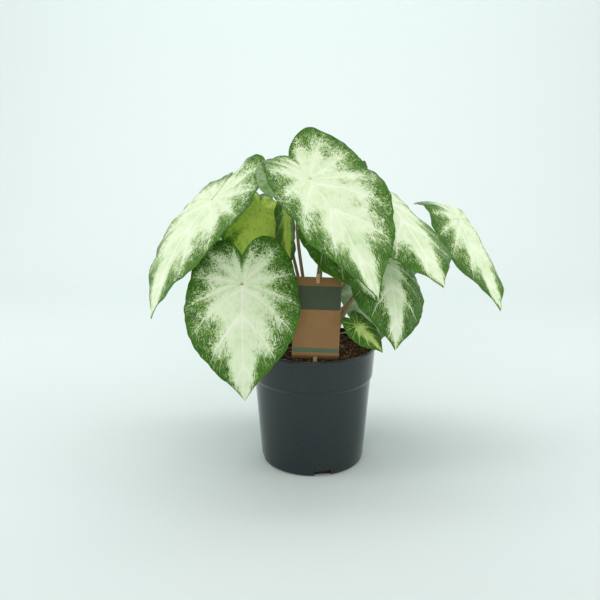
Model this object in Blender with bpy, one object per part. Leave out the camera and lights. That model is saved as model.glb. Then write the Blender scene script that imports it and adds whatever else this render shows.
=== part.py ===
# Potted caladium: nursery pot, soil, tuber, plant card on a stick, and heart-shaped leaves.
# A Blender 4.5 script. The origin is the centre of the pot's foot, on the floor, and the
# plant's front looks along -Y. Sizes below are in millimetres and meshes are made in metres.

import math
from dataclasses import dataclass

import bmesh
import bpy
import numpy as np
from mathutils import Matrix, Vector

MM = 0.001
CLEARANCE = 0.3

# Pot
POT_HEIGHT = 136.0
RIM_RADIUS = 70.0
LIP_HEIGHT = 5.0
BAND_TOP_RADIUS = 69.4
BAND_FOOT_RADIUS = 67.4
BAND_FOOT_HEIGHT = 102.0
WALL_TOP_RADIUS = 65.3
WALL_TOP_HEIGHT = 97.5
WALL_FOOT_RADIUS = 58.2
FOOT_STEP_HEIGHT = 6.0
FOOT_RADIUS = 57.6
FOOT_ROUNDING = 4.0
WALL_THICKNESS = 1.3
FLOOR_THICKNESS = 1.5
FLOOR_RECESS = 1.5
CENTRE_PAD_RADIUS = 14.0
POT_SIDES = 48
DRAIN_NOTCHES = 4
DRAIN_NOTCH_WIDTH = 18.0
DRAIN_NOTCH_HEIGHT = 4.4
DRAIN_NOTCH_HEADING = -79.5
DRAIN_HOLES = 8
DRAIN_HOLE_RADIUS = 3.5
DRAIN_HOLE_RING = 34.0

# Soil and tuber
SOIL_TOP = 127.0
SOIL_LUMP = 1.6
SOIL_RINGS = 9
TUBER_RADIUS = 30.0
TUBER_HALF_HEIGHT = 14.0
TUBER_CENTRE_HEIGHT = 98.0
TUBER_TO_STEM = 1.2
STEM_HOLE_SIDES = 10
STEM_HOLE_OVERRUN = 6.0

# Plant card and stick
CARD_WIDTH = 49.0
CARD_THICKNESS = 0.6
CARD_PANEL_HEIGHT = 73.0
CARD_TOP_FLAP = 10.0
CARD_TOP_LEAN = 35.0
CARD_FOOT_FLAP = 6.0
CARD_FOOT_LEAN = 45.0
STICK_WIDTH = 4.0
STICK_DEPTH = 1.5
STICK_BEHIND = 1.6
STICK_ABOVE = 4.0
STICK_BELOW = 50.0
CARD_PLACE = (1.5, -59.0, 140.0)
CARD_TILT = 5.0
CARD_ROLL = 2.0

# Petioles
PETIOLE_SIDES = 7
PETIOLE_RINGS = 11
PETIOLE_TAPER = 0.65

# Blades
BLADE_THICKNESS = 0.8
BLADE_COLUMNS = 16
BLADE_ROWS = (0.0, 0.36, 0.7, 1.0)
LOBE_REACH = 0.42
LOBE_SIZE_FROM = 0.3
LOBE_SIZE_BESIDE = 0.15
VEIN_START = 0.1
VEIN_CROWDING = 1.6
HALF_WIDTH = 0.5

# Half of a blade's outline, from the notch between the lobes over one lobe to the tip:
# distance along the midrib from the petiole, and distance across it, in blade lengths.
HALF_OUTLINE = (
    (-0.25, 0.0), (-0.33, 0.05), (-0.395, 0.125), (-0.415, 0.215), (-0.36, 0.325),
    (-0.21, 0.42), (0.0, 0.475), (0.22, 0.495), (0.43, 0.45), (0.61, 0.345),
    (0.77, 0.20), (0.89, 0.08), (1.0, 0.0),
)


@dataclass
class Leaf:
    """A blade and its petiole. Angles are in degrees, left is seen from above towards the tip."""

    name: str
    attach: tuple            # where the petiole meets the blade
    length: float            # from there to the tip, along the midrib
    heading: float           # compass heading of the tip, 0 along +X and -90 to the front
    dip: float               # how far the midrib starts below the level
    roll: float = 0.0        # turn about the midrib, left half up
    droop: float = 25.0      # further downward bend of the midrib by the tip
    sweep: float = 0.0       # sideways bend of the midrib to the left by the tip
    twist: float = 0.0       # turn about the midrib by the tip
    width: float = 1.0       # breadth against the usual outline
    fold: tuple = (8.0, 8.0)       # rise of the left and right half from the midrib
    camber: tuple = (25.0, 25.0)   # downward curl of the left and right half
    lobes: tuple = (15.0, 15.0)    # backward bend of the left and right lobe
    lobe_size: tuple = (1.0, 1.0)  # size of the left and right lobe against the usual outline
    wave: float = 1.5        # height of the margin's waves
    waves: float = 4.0       # waves along each half's margin
    phase: float = 0.0
    root: tuple = (0.0, 10.0)      # compass heading and distance of the petiole's root
    arch: float = 0.35       # how far the petiole's top bend reaches, in petiole lengths
    rise: float = 0.45       # how far its lower part runs straight, in petiole lengths
    stem: float = 2.2        # radius of the petiole at the soil


def smooth_curve(points, count):
    """Evenly spaced points on a smooth curve through the given ones."""
    p = np.asarray(points, float)
    ends = np.vstack([2 * p[0] - p[1], p, 2 * p[-1] - p[-2]])
    pieces = []
    for i in range(len(p) - 1):
        a, b, c, d = ends[i:i + 4]
        t = np.linspace(0.0, 1.0, 24, endpoint=False)[:, None]
        pieces.append(0.5 * (2 * b + (c - a) * t + (2 * a - 5 * b + 4 * c - d) * t ** 2
                             + (3 * b - 3 * c + d - a) * t ** 3))
    dense = np.vstack(pieces + [p[-1:]])
    steps = np.linalg.norm(np.diff(dense, axis=0), axis=1)
    along = np.concatenate([[0.0], np.cumsum(steps)])
    wanted = np.linspace(0.0, along[-1], count)
    return np.stack([np.interp(wanted, along, dense[:, k]) for k in range(dense.shape[1])], -1)


def leaf_axes(leaf):
    """Directions of a blade at its petiole: towards the tip, to its left, and out of its face."""
    heading, dip, roll = (math.radians(a) for a in (leaf.heading, leaf.dip, leaf.roll))
    forward = np.array([math.cos(heading) * math.cos(dip),
                        math.sin(heading) * math.cos(dip), -math.sin(dip)])
    level = np.array([-math.sin(heading), math.cos(heading), 0.0])
    up = np.cross(forward, level)
    left = math.cos(roll) * level + math.sin(roll) * up
    face = math.cos(roll) * up - math.sin(roll) * level
    return forward, left, face


def blade_points(leaf, along, across):
    """Places of points on a blade, given in blade lengths along and across its midrib."""
    forward, left, face = leaf_axes(leaf)
    along = np.asarray(along, float)
    across = np.asarray(across, float)
    side = np.sign(across)
    blend = np.sin(0.5 * math.pi * np.clip(across / 0.12, -1.0, 1.0))

    # The midrib bends down and sideways towards the tip.
    table = np.linspace(0.0, 1.0, 101)
    bend = np.radians(leaf.droop) * table ** 1.3
    sweep = np.radians(leaf.sweep) * table
    ahead = (np.cos(bend)[:, None] * (np.cos(sweep)[:, None] * forward
                                      + np.sin(sweep)[:, None] * left)
             - np.sin(bend)[:, None] * face)
    path = np.vstack([np.zeros(3), np.cumsum(0.5 * (ahead[1:] + ahead[:-1]), 0) * table[1]])
    u = np.clip(along, 0.0, 1.0)
    spine = np.stack([np.interp(u, table, path[:, k]) for k in range(3)], -1) * leaf.length
    b = (np.radians(leaf.droop) * u ** 1.3)[..., None]
    s = (np.radians(leaf.sweep) * u)[..., None]
    tangent = np.cos(b) * (np.cos(s) * forward + np.sin(s) * left) - np.sin(b) * face
    beside = -np.sin(s) * forward + np.cos(s) * left
    normal = np.cross(tangent, beside)

    # Behind the petiole each lobe bends back on its own.
    back = np.clip(-along, 0.0, None)
    lobe = np.radians(0.5 * (leaf.lobes[0] + leaf.lobes[1])
                      + 0.5 * (leaf.lobes[0] - leaf.lobes[1]) * blend)
    rate = np.where(np.abs(lobe) < 1e-4, 1e-4, lobe) / LOBE_REACH
    turn = (rate * back)[..., None]
    reach = (leaf.length / rate)[..., None]
    spine = spine - reach * (np.sin(turn) * forward + (1 - np.cos(turn)) * face)
    behind = (back > 0)[..., None]
    normal = np.where(behind, np.cos(turn) * face - np.sin(turn) * forward, normal)

    # The twist turns both halves about the midrib.
    angle = (np.radians(leaf.twist) * u)[..., None]
    beside, normal = (np.cos(angle) * beside + np.sin(angle) * normal,
                      np.cos(angle) * normal - np.sin(angle) * beside)

    # Each half rises from the midrib and curls down towards its margin.
    fold = np.radians(np.where(side >= 0, leaf.fold[0], leaf.fold[1]))
    curl = np.radians(np.where(side >= 0, leaf.camber[0], leaf.camber[1]))
    curl = np.where(np.abs(curl) < 1e-4, 1e-4, curl)
    radius = leaf.length * HALF_WIDTH / curl
    out = np.abs(across) * leaf.length
    end = fold - out / radius
    outward = radius * (np.sin(fold) - np.sin(end))
    upward = radius * (np.cos(end) - np.cos(fold))
    return (np.asarray(leaf.attach) + spine + (side * outward)[..., None] * beside
            + upward[..., None] * normal), normal


def blade_half(leaf, side, columns, rows):
    """Grid of points on one half of a blade: columns along the margin, rows out to it."""
    outline = smooth_curve(HALF_OUTLINE, columns)
    margin_u, margin_v = outline.T
    in_lobe = (np.clip(-margin_u / LOBE_SIZE_FROM, 0.0, 1.0)
               * np.clip(margin_v / LOBE_SIZE_BESIDE, 0.0, 1.0))
    size = 1 - (1 - leaf.lobe_size[0 if side > 0 else 1]) * in_lobe
    margin_u = margin_u * size
    margin_v = margin_v * size * leaf.width
    foot_u = np.clip((margin_u - VEIN_START) / (1 - VEIN_START), 0.0, 1.0) ** VEIN_CROWDING
    e = np.asarray(rows)[None, :]
    along = foot_u[:, None] * (1 - e) + margin_u[:, None] * e
    across = side * margin_v[:, None] * e
    points, normals = blade_points(leaf, along, across)
    tau = np.linspace(0.0, 1.0, columns)[:, None]
    ripple = np.sin(2 * math.pi * (leaf.waves * tau) + leaf.phase * side) * np.sin(math.pi * tau)
    return points + normals * (leaf.wave * e ** 2 * ripple)[..., None]


LEAVES = (
    Leaf("centre", (-5, -60, 322), 137, -38, 44, roll=6, droop=22, twist=4, width=1.08,
         fold=(16, 13), camber=(4, 6), lobes=(-22, 58), lobe_size=(0.95, 0.7), wave=2.0,
         root=(-110, 13), arch=0.3),
    Leaf("left", (-108, 0, 296), 147, -134, 38, roll=11, droop=38, sweep=-12, twist=4,
         width=0.96, fold=(0, 8), camber=(12, 30), lobes=(-14, 8), lobe_size=(1, 0.7),
         root=(165, 13), arch=0.3),
    Leaf("lower_left", (-72, -79, 221), 119, -88, 58, roll=4, droop=40, twist=-10,
         fold=(-5, -3), camber=(18, 12), lobes=(-12, 4), root=(-120, 19)),
    Leaf("right", (77, -8, 298), 126, -57, 35, roll=-14, droop=10, sweep=-3, twist=18,
         width=1.04, fold=(-4, -4), camber=(20, 10), lobes=(20, 25), root=(-5, 13)),
    Leaf("lower_right", (79, -28, 232), 96, -77, 50, roll=-17, droop=23, sweep=-4, twist=12,
         width=1.06, fold=(-4, -3), camber=(30, 2), lobes=(25, 15), root=(-30, 19)),
    Leaf("far_right", (169, 62, 266), 119, -48, 53, roll=-14, droop=4, sweep=-7, twist=7,
         fold=(16, 8), camber=(66, 30), lobes=(96, 75), root=(14, 19)),
    Leaf("young", (45, -60, 172), 38, -25, 40, roll=16, droop=5, width=1.04, fold=(12, 9),
         lobes=(0, 0), wave=0.4, root=(-54, 19), stem=1.2),
    Leaf("under_centre", (22, -46, 276), 88, -50, 48, roll=10, droop=18, sweep=7, width=1.1,
         fold=(7, 6), camber=(17, 10), lobes=(85, 60), lobe_size=(1, 0.6), root=(-30, 6)),
    Leaf("inner_left", (-57, -14, 286), 80, -105, 62, roll=-30, droop=15, twist=10,
         fold=(-2, -2), camber=(25, 10), lobes=(80, 60), root=(-155, 13)),
    Leaf("inner_centre", (-30, -24, 290), 68, -60, 84, roll=-40, twist=16, droop=2, width=0.9,
         fold=(5, 7), camber=(32, 8), lobes=(-10, 10), root=(-140, 6), arch=0.06),
    Leaf("back", (14, 66, 318), 114, 95, 35, width=0.94, droop=35, root=(85, 6)),
    Leaf("back_right", (84, 106, 244), 104, 56, 46, root=(40, 13)),
    Leaf("back_left", (-94, 86, 266), 110, 140, 44, root=(120, 13)),
    Leaf("low_back_left", (-88, 40, 190), 88, 160, 60, root=(145, 19)),
    Leaf("low_back_right", (64, 78, 178), 84, 52, 62, root=(60, 19)),
)


def material(name, colour, roughness, metallic=0.0):
    made = bpy.data.materials.new(name)
    made.use_nodes = True
    shader = made.node_tree.nodes["Principled BSDF"]
    shader.inputs["Base Color"].default_value = (*colour, 1.0)
    shader.inputs["Roughness"].default_value = roughness
    shader.inputs["Metallic"].default_value = metallic
    return made


def new_object(name, bm, look):
    """An object from a bmesh in millimetres."""
    bmesh.ops.scale(bm, vec=(MM, MM, MM), verts=bm.verts)
    mesh = bpy.data.meshes.new(name)
    bm.to_mesh(mesh)
    bm.free()
    if look:
        mesh.materials.append(look)
    mesh.shade_smooth()
    mesh.set_sharp_from_angle(angle=math.radians(35))
    made = bpy.data.objects.new(name, mesh)
    bpy.context.collection.objects.link(made)
    return made


def cut(target, cutters, name):
    """Cut closed objects out of another, and keep the cutters out of sight."""
    group = bpy.data.collections.new(name)
    for cutter in cutters:
        group.objects.link(cutter)
        cutter.hide_render = True
        cutter.display_type = "WIRE"
    boolean = target.modifiers.new(name, "BOOLEAN")
    boolean.operation = "DIFFERENCE"
    boolean.operand_type = "COLLECTION"
    boolean.solver = "EXACT"
    boolean.collection = group


def add_turned(bm, profile, sides):
    """A body turned about Z from a profile that starts and ends on the axis."""
    rings = []
    for radius, height in profile:
        if radius == 0.0:
            rings.append([bm.verts.new((0.0, 0.0, height))])
            continue
        ring = []
        for i in range(sides):
            a = 2 * math.pi * i / sides
            ring.append(bm.verts.new((radius * math.cos(a), radius * math.sin(a), height)))
        rings.append(ring)
    for lower, upper in zip(rings, rings[1:]):
        for i in range(sides):
            j = (i + 1) % sides
            face = [lower[i % len(lower)], lower[j % len(lower)],
                    upper[j % len(upper)], upper[i % len(upper)]]
            bm.faces.new(dict.fromkeys(face))
    return [v for ring in rings for v in ring]


def add_box(bm, size, matrix):
    bmesh.ops.create_cube(bm, size=1.0, matrix=matrix @ Matrix.Diagonal((*size, 1.0)))


def wall_radius(height):
    """Radius of the pot's lower wall at a height."""
    share = (height - FOOT_STEP_HEIGHT) / (WALL_TOP_HEIGHT - FOOT_STEP_HEIGHT)
    return WALL_FOOT_RADIUS + (WALL_TOP_RADIUS - WALL_FOOT_RADIUS) * share


def pot_inner_profile():
    """Inside of the pot from the floor's centre to the rim."""
    floor = FLOOR_RECESS + FLOOR_THICKNESS
    return [
        (0.0, floor),
        (FOOT_RADIUS - WALL_THICKNESS - 3.0, floor),
        (FOOT_RADIUS - WALL_THICKNESS, floor + 3.0),
        (wall_radius(WALL_TOP_HEIGHT) - WALL_THICKNESS, WALL_TOP_HEIGHT),
        (BAND_FOOT_RADIUS - WALL_THICKNESS, BAND_FOOT_HEIGHT),
        (BAND_TOP_RADIUS - WALL_THICKNESS, POT_HEIGHT - LIP_HEIGHT),
        (BAND_TOP_RADIUS - WALL_THICKNESS + 0.2, POT_HEIGHT - 0.4),
        (BAND_TOP_RADIUS - WALL_THICKNESS + 0.6, POT_HEIGHT),
    ]


def pot_outer_profile():
    """Outside of the pot from the underside's centre to the rim."""
    rounding = []
    for i in range(5):
        a = math.radians(-90 + 22.5 * i)
        rounding.append((FOOT_RADIUS - FOOT_ROUNDING + FOOT_ROUNDING * math.cos(a),
                         FOOT_ROUNDING + FOOT_ROUNDING * math.sin(a)))
    foot_inside = FOOT_RADIUS - FOOT_ROUNDING - 3.0
    lip_foot = POT_HEIGHT - LIP_HEIGHT
    return [
        (0.0, 0.0),
        (CENTRE_PAD_RADIUS, 0.0),
        (CENTRE_PAD_RADIUS + FLOOR_RECESS, FLOOR_RECESS),
        (foot_inside - FLOOR_RECESS, FLOOR_RECESS),
        (foot_inside, 0.0),
        *rounding,
        (FOOT_RADIUS + 0.1, FOOT_STEP_HEIGHT - 0.5),
        (WALL_FOOT_RADIUS, FOOT_STEP_HEIGHT),
        (WALL_TOP_RADIUS, WALL_TOP_HEIGHT),
        (BAND_FOOT_RADIUS - 0.7, BAND_FOOT_HEIGHT - 2.5),
        (BAND_FOOT_RADIUS, BAND_FOOT_HEIGHT),
        (BAND_TOP_RADIUS, lip_foot),
        (RIM_RADIUS - 0.1, lip_foot + 0.4),
        (RIM_RADIUS, POT_HEIGHT - 2.0),
        (RIM_RADIUS - 0.4, POT_HEIGHT - 1.7),
        (RIM_RADIUS - 0.4, POT_HEIGHT - 1.4),
        (RIM_RADIUS, POT_HEIGHT - 1.1),
        (RIM_RADIUS, POT_HEIGHT - 0.5),
        (RIM_RADIUS - 0.5, POT_HEIGHT),
    ]


def make_pot(look):
    bm = bmesh.new()
    add_turned(bm, pot_outer_profile() + pot_inner_profile()[::-1], POT_SIDES)
    pot = new_object("pot", bm, look)
    drains = bmesh.new()
    for i in range(DRAIN_NOTCHES):
        turn = Matrix.Rotation(math.radians(DRAIN_NOTCH_HEADING + 360 * i / DRAIN_NOTCHES), 4, "Z")
        place = Matrix.Translation((FOOT_RADIUS, 0.0, DRAIN_NOTCH_HEIGHT / 2 - 1.0))
        add_box(drains, (9.0, DRAIN_NOTCH_WIDTH, DRAIN_NOTCH_HEIGHT + 2.0), turn @ place)
    for i in range(DRAIN_HOLES):
        turn = Matrix.Rotation(2 * math.pi * (i + 0.5) / DRAIN_HOLES, 4, "Z")
        place = Matrix.Translation((DRAIN_HOLE_RING, 0.0, FLOOR_RECESS))
        bmesh.ops.create_cone(drains, cap_ends=True, segments=12, radius1=DRAIN_HOLE_RADIUS,
                              radius2=DRAIN_HOLE_RADIUS, depth=8.0, matrix=turn @ place)
    cut(pot, [new_object("drain_cutter", drains, None)], "drains")


def tuber_top(distance):
    """Height of the tuber's surface at a distance from its axis."""
    share = min(distance / TUBER_RADIUS, 0.95)
    return TUBER_CENTRE_HEIGHT + TUBER_HALF_HEIGHT * math.sqrt(1.0 - share ** 2)


def add_tuber(bm, grow):
    """The tuber's shape, a flattened round with blunt knobs, grown by a margin."""
    made = bmesh.ops.create_icosphere(bm, subdivisions=3, radius=1.0)["verts"]
    for vertex in made:
        d = vertex.co.normalized()
        knob = 1.0 - 0.06 * max(0.0, -d.z) * (1 + math.sin(5 * math.atan2(d.y, d.x)))
        vertex.co = Vector((d.x * (TUBER_RADIUS * knob + grow), d.y * (TUBER_RADIUS * knob + grow),
                            d.z * (TUBER_HALF_HEIGHT * knob + grow) + TUBER_CENTRE_HEIGHT))


def make_tuber(look):
    bm = bmesh.new()
    add_tuber(bm, 0.0)
    new_object("tuber", bm, look)


def petiole_path(leaf):
    """Root, way up out of the soil, and points of the petiole's path up to its blade."""
    heading, distance = leaf.root
    out = np.array([math.cos(math.radians(heading)), math.sin(math.radians(heading)), 0.0])
    root = out * distance + np.array([0.0, 0.0, tuber_top(distance) + TUBER_TO_STEM])
    face = leaf_axes(leaf)[2]
    tip_radius = leaf.stem * PETIOLE_TAPER
    hollow = max(0.0, *(-math.tan(math.radians(f)) for f in leaf.fold))
    top = np.array(leaf.attach) - face * (BLADE_THICKNESS / 2 + CLEARANCE + tip_radius * hollow)
    lean = (top - root) * np.array([0.25, 0.25, 1.0])
    lean = lean / np.linalg.norm(lean)
    soil = root + lean * (SOIL_TOP + 6.0 - root[2]) / lean[2]
    span = np.linalg.norm(top - soil)
    handles = [soil, soil + lean * span * leaf.rise, top - face * span * leaf.arch, top]
    t = np.linspace(0.0, 1.0, PETIOLE_RINGS)[:, None]
    curve = ((1 - t) ** 3 * handles[0] + 3 * (1 - t) ** 2 * t * handles[1]
             + 3 * (1 - t) * t ** 2 * handles[2] + t ** 3 * handles[3])
    return root, lean, np.vstack([root, curve])


def make_petiole(leaf, look):
    path = petiole_path(leaf)[2]
    steps = np.concatenate([[0.0], np.cumsum(np.linalg.norm(np.diff(path, axis=0), axis=1))])
    bm = bmesh.new()
    rings = []
    beside = np.array([1.0, 0.0, 0.0])
    for i, point in enumerate(path):
        if i == len(path) - 1:
            ahead = leaf_axes(leaf)[2]
        else:
            ahead = path[min(i + 1, len(path) - 1)] - path[max(i - 1, 0)]
        ahead = ahead / np.linalg.norm(ahead)
        beside = beside - ahead * np.dot(beside, ahead)
        beside = beside / np.linalg.norm(beside)
        across = np.cross(ahead, beside)
        radius = leaf.stem * (1 - (1 - PETIOLE_TAPER) * steps[i] / steps[-1])
        ring = []
        for k in range(PETIOLE_SIDES):
            a = 2 * math.pi * k / PETIOLE_SIDES
            ring.append(bm.verts.new(point + radius * (math.cos(a) * beside + math.sin(a) * across)))
        rings.append(ring)
    for lower, upper in zip(rings, rings[1:]):
        for k in range(PETIOLE_SIDES):
            j = (k + 1) % PETIOLE_SIDES
            bm.faces.new((lower[k], lower[j], upper[j], upper[k]))
    bm.faces.new(rings[0][::-1])
    bm.faces.new(rings[-1])
    new_object(leaf.name + "_petiole", bm, look)


def grid_faces(grid, flip):
    """Triangles over a grid of vertex numbers, without those that have no area."""
    faces = []
    for i in range(len(grid) - 1):
        for j in range(len(grid[0]) - 1):
            a, b, c, d = grid[i][j], grid[i + 1][j], grid[i + 1][j + 1], grid[i][j + 1]
            for face in ((a, b, c), (a, c, d)):
                if len(set(face)) == 3:
                    faces.append(face[::-1] if flip else face)
    return faces


def blade_sheet(leaf, columns, rows):
    """Points and triangles of a blade without thickness, its two halves joined at the midrib."""
    points = []
    numbers = {}
    faces = []
    for side in (1, -1):
        grid = []
        for column in blade_half(leaf, side, columns, rows):
            row = []
            for point in column:
                key = tuple(np.round(point, 4))
                if key not in numbers:
                    numbers[key] = len(points)
                    points.append(point)
                row.append(numbers[key])
            grid.append(row)
        faces += grid_faces(grid, side < 0)
    return np.array(points), np.array(faces)


def make_blade(leaf, look):
    points, faces = blade_sheet(leaf, BLADE_COLUMNS, BLADE_ROWS)
    a, b, c = (points[faces[:, k]] for k in range(3))
    face_normals = np.cross(b - a, c - a)
    normals = np.zeros_like(points)
    for k in range(3):
        np.add.at(normals, faces[:, k], face_normals)
    normals /= np.linalg.norm(normals, axis=1)[:, None]
    bm = bmesh.new()
    upper = [bm.verts.new(p) for p in points + normals * BLADE_THICKNESS / 2]
    lower = [bm.verts.new(p) for p in points - normals * BLADE_THICKNESS / 2]
    edges = {}
    for face in faces.tolist():
        bm.faces.new([upper[k] for k in face])
        bm.faces.new([lower[k] for k in face[::-1]])
        for k in range(3):
            edge = (face[k], face[(k + 1) % 3])
            if edge[::-1] in edges:
                del edges[edge[::-1]]
            else:
                edges[edge] = True
    for p, q in edges:
        bm.faces.new((upper[q], upper[p], lower[p]))
        bm.faces.new((upper[q], lower[p], lower[q]))
    new_object(leaf.name + "_blade", bm, look)


def soil_height(x, y):
    """Height of the soil's lumpy surface."""
    lumps = (math.sin(0.31 * x + 1.1) * math.cos(0.27 * y) + 0.6 * math.sin(0.53 * y - 0.22 * x)
             + 0.4 * math.cos(0.71 * x + 0.45 * y))
    return SOIL_TOP + SOIL_LUMP * lumps / 2


def make_soil(look, stick_cutter):
    """Soil that fills the pot, with a hollow for the tuber and a plain hole for every stem."""
    gap = CLEARANCE + 0.1
    edge = BAND_TOP_RADIUS - WALL_THICKNESS - gap - 0.5
    inner = pot_inner_profile()
    profile = [(0.0, inner[0][1] + gap)]
    profile += [(radius - gap, height + gap) for radius, height in inner[1:5]]
    profile += [(edge * (1 - i / SOIL_RINGS), SOIL_TOP) for i in range(SOIL_RINGS)]
    profile.append((0.0, SOIL_TOP))
    bm = bmesh.new()
    add_turned(bm, profile, POT_SIDES)
    for vertex in bm.verts:
        if vertex.co.z > SOIL_TOP - 0.01:
            vertex.co.z = soil_height(vertex.co.x, vertex.co.y)
    soil = new_object("soil", bm, look)

    hollow = bmesh.new()
    add_tuber(hollow, CLEARANCE)
    cutters = [new_object("tuber_cutter", hollow, None), stick_cutter]
    for leaf in LEAVES:
        root, lean, _ = petiole_path(leaf)
        hole = bmesh.new()
        radius = (leaf.stem + CLEARANCE) / math.cos(math.pi / STEM_HOLE_SIDES)
        depth = SOIL_TOP - root[2] + 2 * STEM_HOLE_OVERRUN
        middle = root + lean * (depth / 2 - STEM_HOLE_OVERRUN)
        turn = Vector(lean).to_track_quat("Z", "Y").to_matrix().to_4x4()
        bmesh.ops.create_cone(hole, cap_ends=True, segments=STEM_HOLE_SIDES, radius1=radius,
                              radius2=radius, depth=depth,
                              matrix=Matrix.Translation(middle) @ turn)
        cutters.append(new_object(leaf.name + "_hole_cutter", hole, None))
    cut(soil, cutters, "soil_hollows")


def card_matrix():
    """Place and lean of the card, whose panel stands on its own origin and faces -Y."""
    return (Matrix.Translation(CARD_PLACE)
            @ Matrix.Rotation(math.radians(CARD_ROLL), 4, "Y")
            @ Matrix.Rotation(math.radians(-CARD_TILT), 4, "X"))


def make_stick(name, grow, look):
    top_lean = math.radians(CARD_TOP_LEAN)
    top = CARD_PANEL_HEIGHT + CARD_TOP_FLAP * math.cos(top_lean) + STICK_ABOVE
    size = (STICK_WIDTH + 2 * grow, STICK_DEPTH + 2 * grow, top + STICK_BELOW + 2 * grow)
    place = Matrix.Translation((0.0, STICK_BEHIND, (top - STICK_BELOW) / 2))
    bm = bmesh.new()
    add_box(bm, size, card_matrix() @ place)
    return new_object(name, bm, look)


def make_card(look, stick_cutter):
    """A card with a top and a foot flap creased back, and a slot for the stick in each."""
    top_lean = math.radians(CARD_TOP_LEAN)
    foot_lean = math.radians(CARD_FOOT_LEAN)
    side_view = [
        (CARD_FOOT_FLAP * math.sin(foot_lean), -CARD_FOOT_FLAP * math.cos(foot_lean), foot_lean),
        (0.0, 0.0, foot_lean / 2),
        (0.0, CARD_PANEL_HEIGHT, -top_lean / 2),
        (CARD_TOP_FLAP * math.sin(top_lean),
         CARD_PANEL_HEIGHT + CARD_TOP_FLAP * math.cos(top_lean), -top_lean),
    ]
    bm = bmesh.new()
    loops = []
    for back, height, lean in side_view:
        half = CARD_THICKNESS / 2
        loop = []
        for x, side in ((-1, -1), (1, -1), (1, 1), (-1, 1)):
            loop.append(bm.verts.new((x * CARD_WIDTH / 2, back + side * half * math.cos(lean),
                                      height + side * half * math.sin(lean))))
        loops.append(loop)
    for lower, upper in zip(loops, loops[1:]):
        for k in range(4):
            j = (k + 1) % 4
            bm.faces.new((lower[k], lower[j], upper[j], upper[k]))
    bm.faces.new(loops[0][::-1])
    bm.faces.new(loops[-1])
    bm.transform(card_matrix())
    card = new_object("card", bm, look)
    cut(card, [stick_cutter], "card_slots")


def main():
    for old in list(bpy.data.objects):
        bpy.data.objects.remove(old, do_unlink=True)
    plastic = material("dark_plastic", (0.05, 0.07, 0.075), 0.4)
    mix = material("potting_mix", (0.05, 0.03, 0.02), 0.95)
    paper = material("kraft_paper", (0.31, 0.17, 0.07), 0.8)
    wood = material("pale_wood", (0.55, 0.38, 0.2), 0.6)
    stalk = material("petiole_skin", (0.35, 0.22, 0.1), 0.5)
    blade = material("cream_and_green_blade", (0.55, 0.68, 0.4), 0.45)

    make_pot(plastic)
    make_tuber(material("tuber_skin", (0.16, 0.09, 0.05), 0.9))
    make_stick("stick", 0.0, wood)
    stick_cutter = make_stick("stick_cutter", CLEARANCE, None)
    make_card(paper, stick_cutter)
    make_soil(mix, stick_cutter)
    for leaf in LEAVES:
        make_petiole(leaf, stalk)
        make_blade(leaf, blade)


if __name__ == "__main__":
    main()
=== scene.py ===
import math
import random
from dataclasses import dataclass

import bmesh
import bpy
import numpy as np
from bpy.props import FloatProperty, FloatVectorProperty, IntProperty, PointerProperty
from mathutils import Matrix, Vector, noise


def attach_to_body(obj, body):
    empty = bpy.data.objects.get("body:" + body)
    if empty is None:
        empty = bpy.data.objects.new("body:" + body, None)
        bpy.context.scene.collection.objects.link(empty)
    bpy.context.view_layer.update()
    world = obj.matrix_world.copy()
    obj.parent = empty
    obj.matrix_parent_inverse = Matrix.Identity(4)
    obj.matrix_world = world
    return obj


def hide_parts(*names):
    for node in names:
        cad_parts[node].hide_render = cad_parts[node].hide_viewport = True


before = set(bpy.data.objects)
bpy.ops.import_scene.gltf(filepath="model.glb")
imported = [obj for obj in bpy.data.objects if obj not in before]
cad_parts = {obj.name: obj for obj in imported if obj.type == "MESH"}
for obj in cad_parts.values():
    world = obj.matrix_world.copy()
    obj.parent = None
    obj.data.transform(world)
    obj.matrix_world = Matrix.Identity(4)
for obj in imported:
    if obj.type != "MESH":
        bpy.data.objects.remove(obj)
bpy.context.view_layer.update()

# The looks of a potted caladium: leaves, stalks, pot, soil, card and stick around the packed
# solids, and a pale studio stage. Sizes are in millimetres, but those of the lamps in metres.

bl_info = {
    "name": "Potted caladium",
    "version": (1, 0, 0),
    "blender": (4, 5, 0),
    "location": "3D View > Sidebar > Caladium",
    "description": "Dresses a potted caladium and sets a pale stage for it",
    "category": "Add Mesh",
}

MM = 0.001
BODY = "root"
SHARP_FROM = 60.0        # degrees from which an edge of a made sheet is shaded sharp

# Outline of half a blade, from the notch between its lobes over one lobe to the tip:
# distance along the midrib from the petiole, and distance across it, in blade lengths.
HALF_OUTLINE = (
    (-0.25, 0.0), (-0.33, 0.05), (-0.395, 0.125), (-0.415, 0.215), (-0.36, 0.325),
    (-0.21, 0.42), (0.0, 0.475), (0.22, 0.495), (0.43, 0.45), (0.61, 0.345),
    (0.77, 0.20), (0.89, 0.08), (1.0, 0.0),
)
LOBE_REACH = 0.42        # distance behind the petiole over which a lobe makes its bend
LOBE_SIZE_FROM = 0.3
LOBE_SIZE_BESIDE = 0.15
LOBE_BLEND = 0.12        # distance beside the midrib where the two lobes' bends merge
HALF_WIDTH = 0.5
# Number and size, as shares of the blade, of the unevennesses along half a margin
MARGIN_JAGS = ((5, 0.008), (9, 0.006), (17, 0.004), (29, 0.002))
MARGIN_WAVES = 4.0
BLADE_COLUMNS = 141
BLADE_ROWS = 31
MIDRIB_STEPS = 101
DROOP_EASE = 1.3         # above 1, the midrib droops most near its tip
LEAST_ANGLE = 1e-4
VEINS_PER_HALF = 7
VEIN_START = 0.25
VEIN_CROWDING = 2.3

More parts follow.
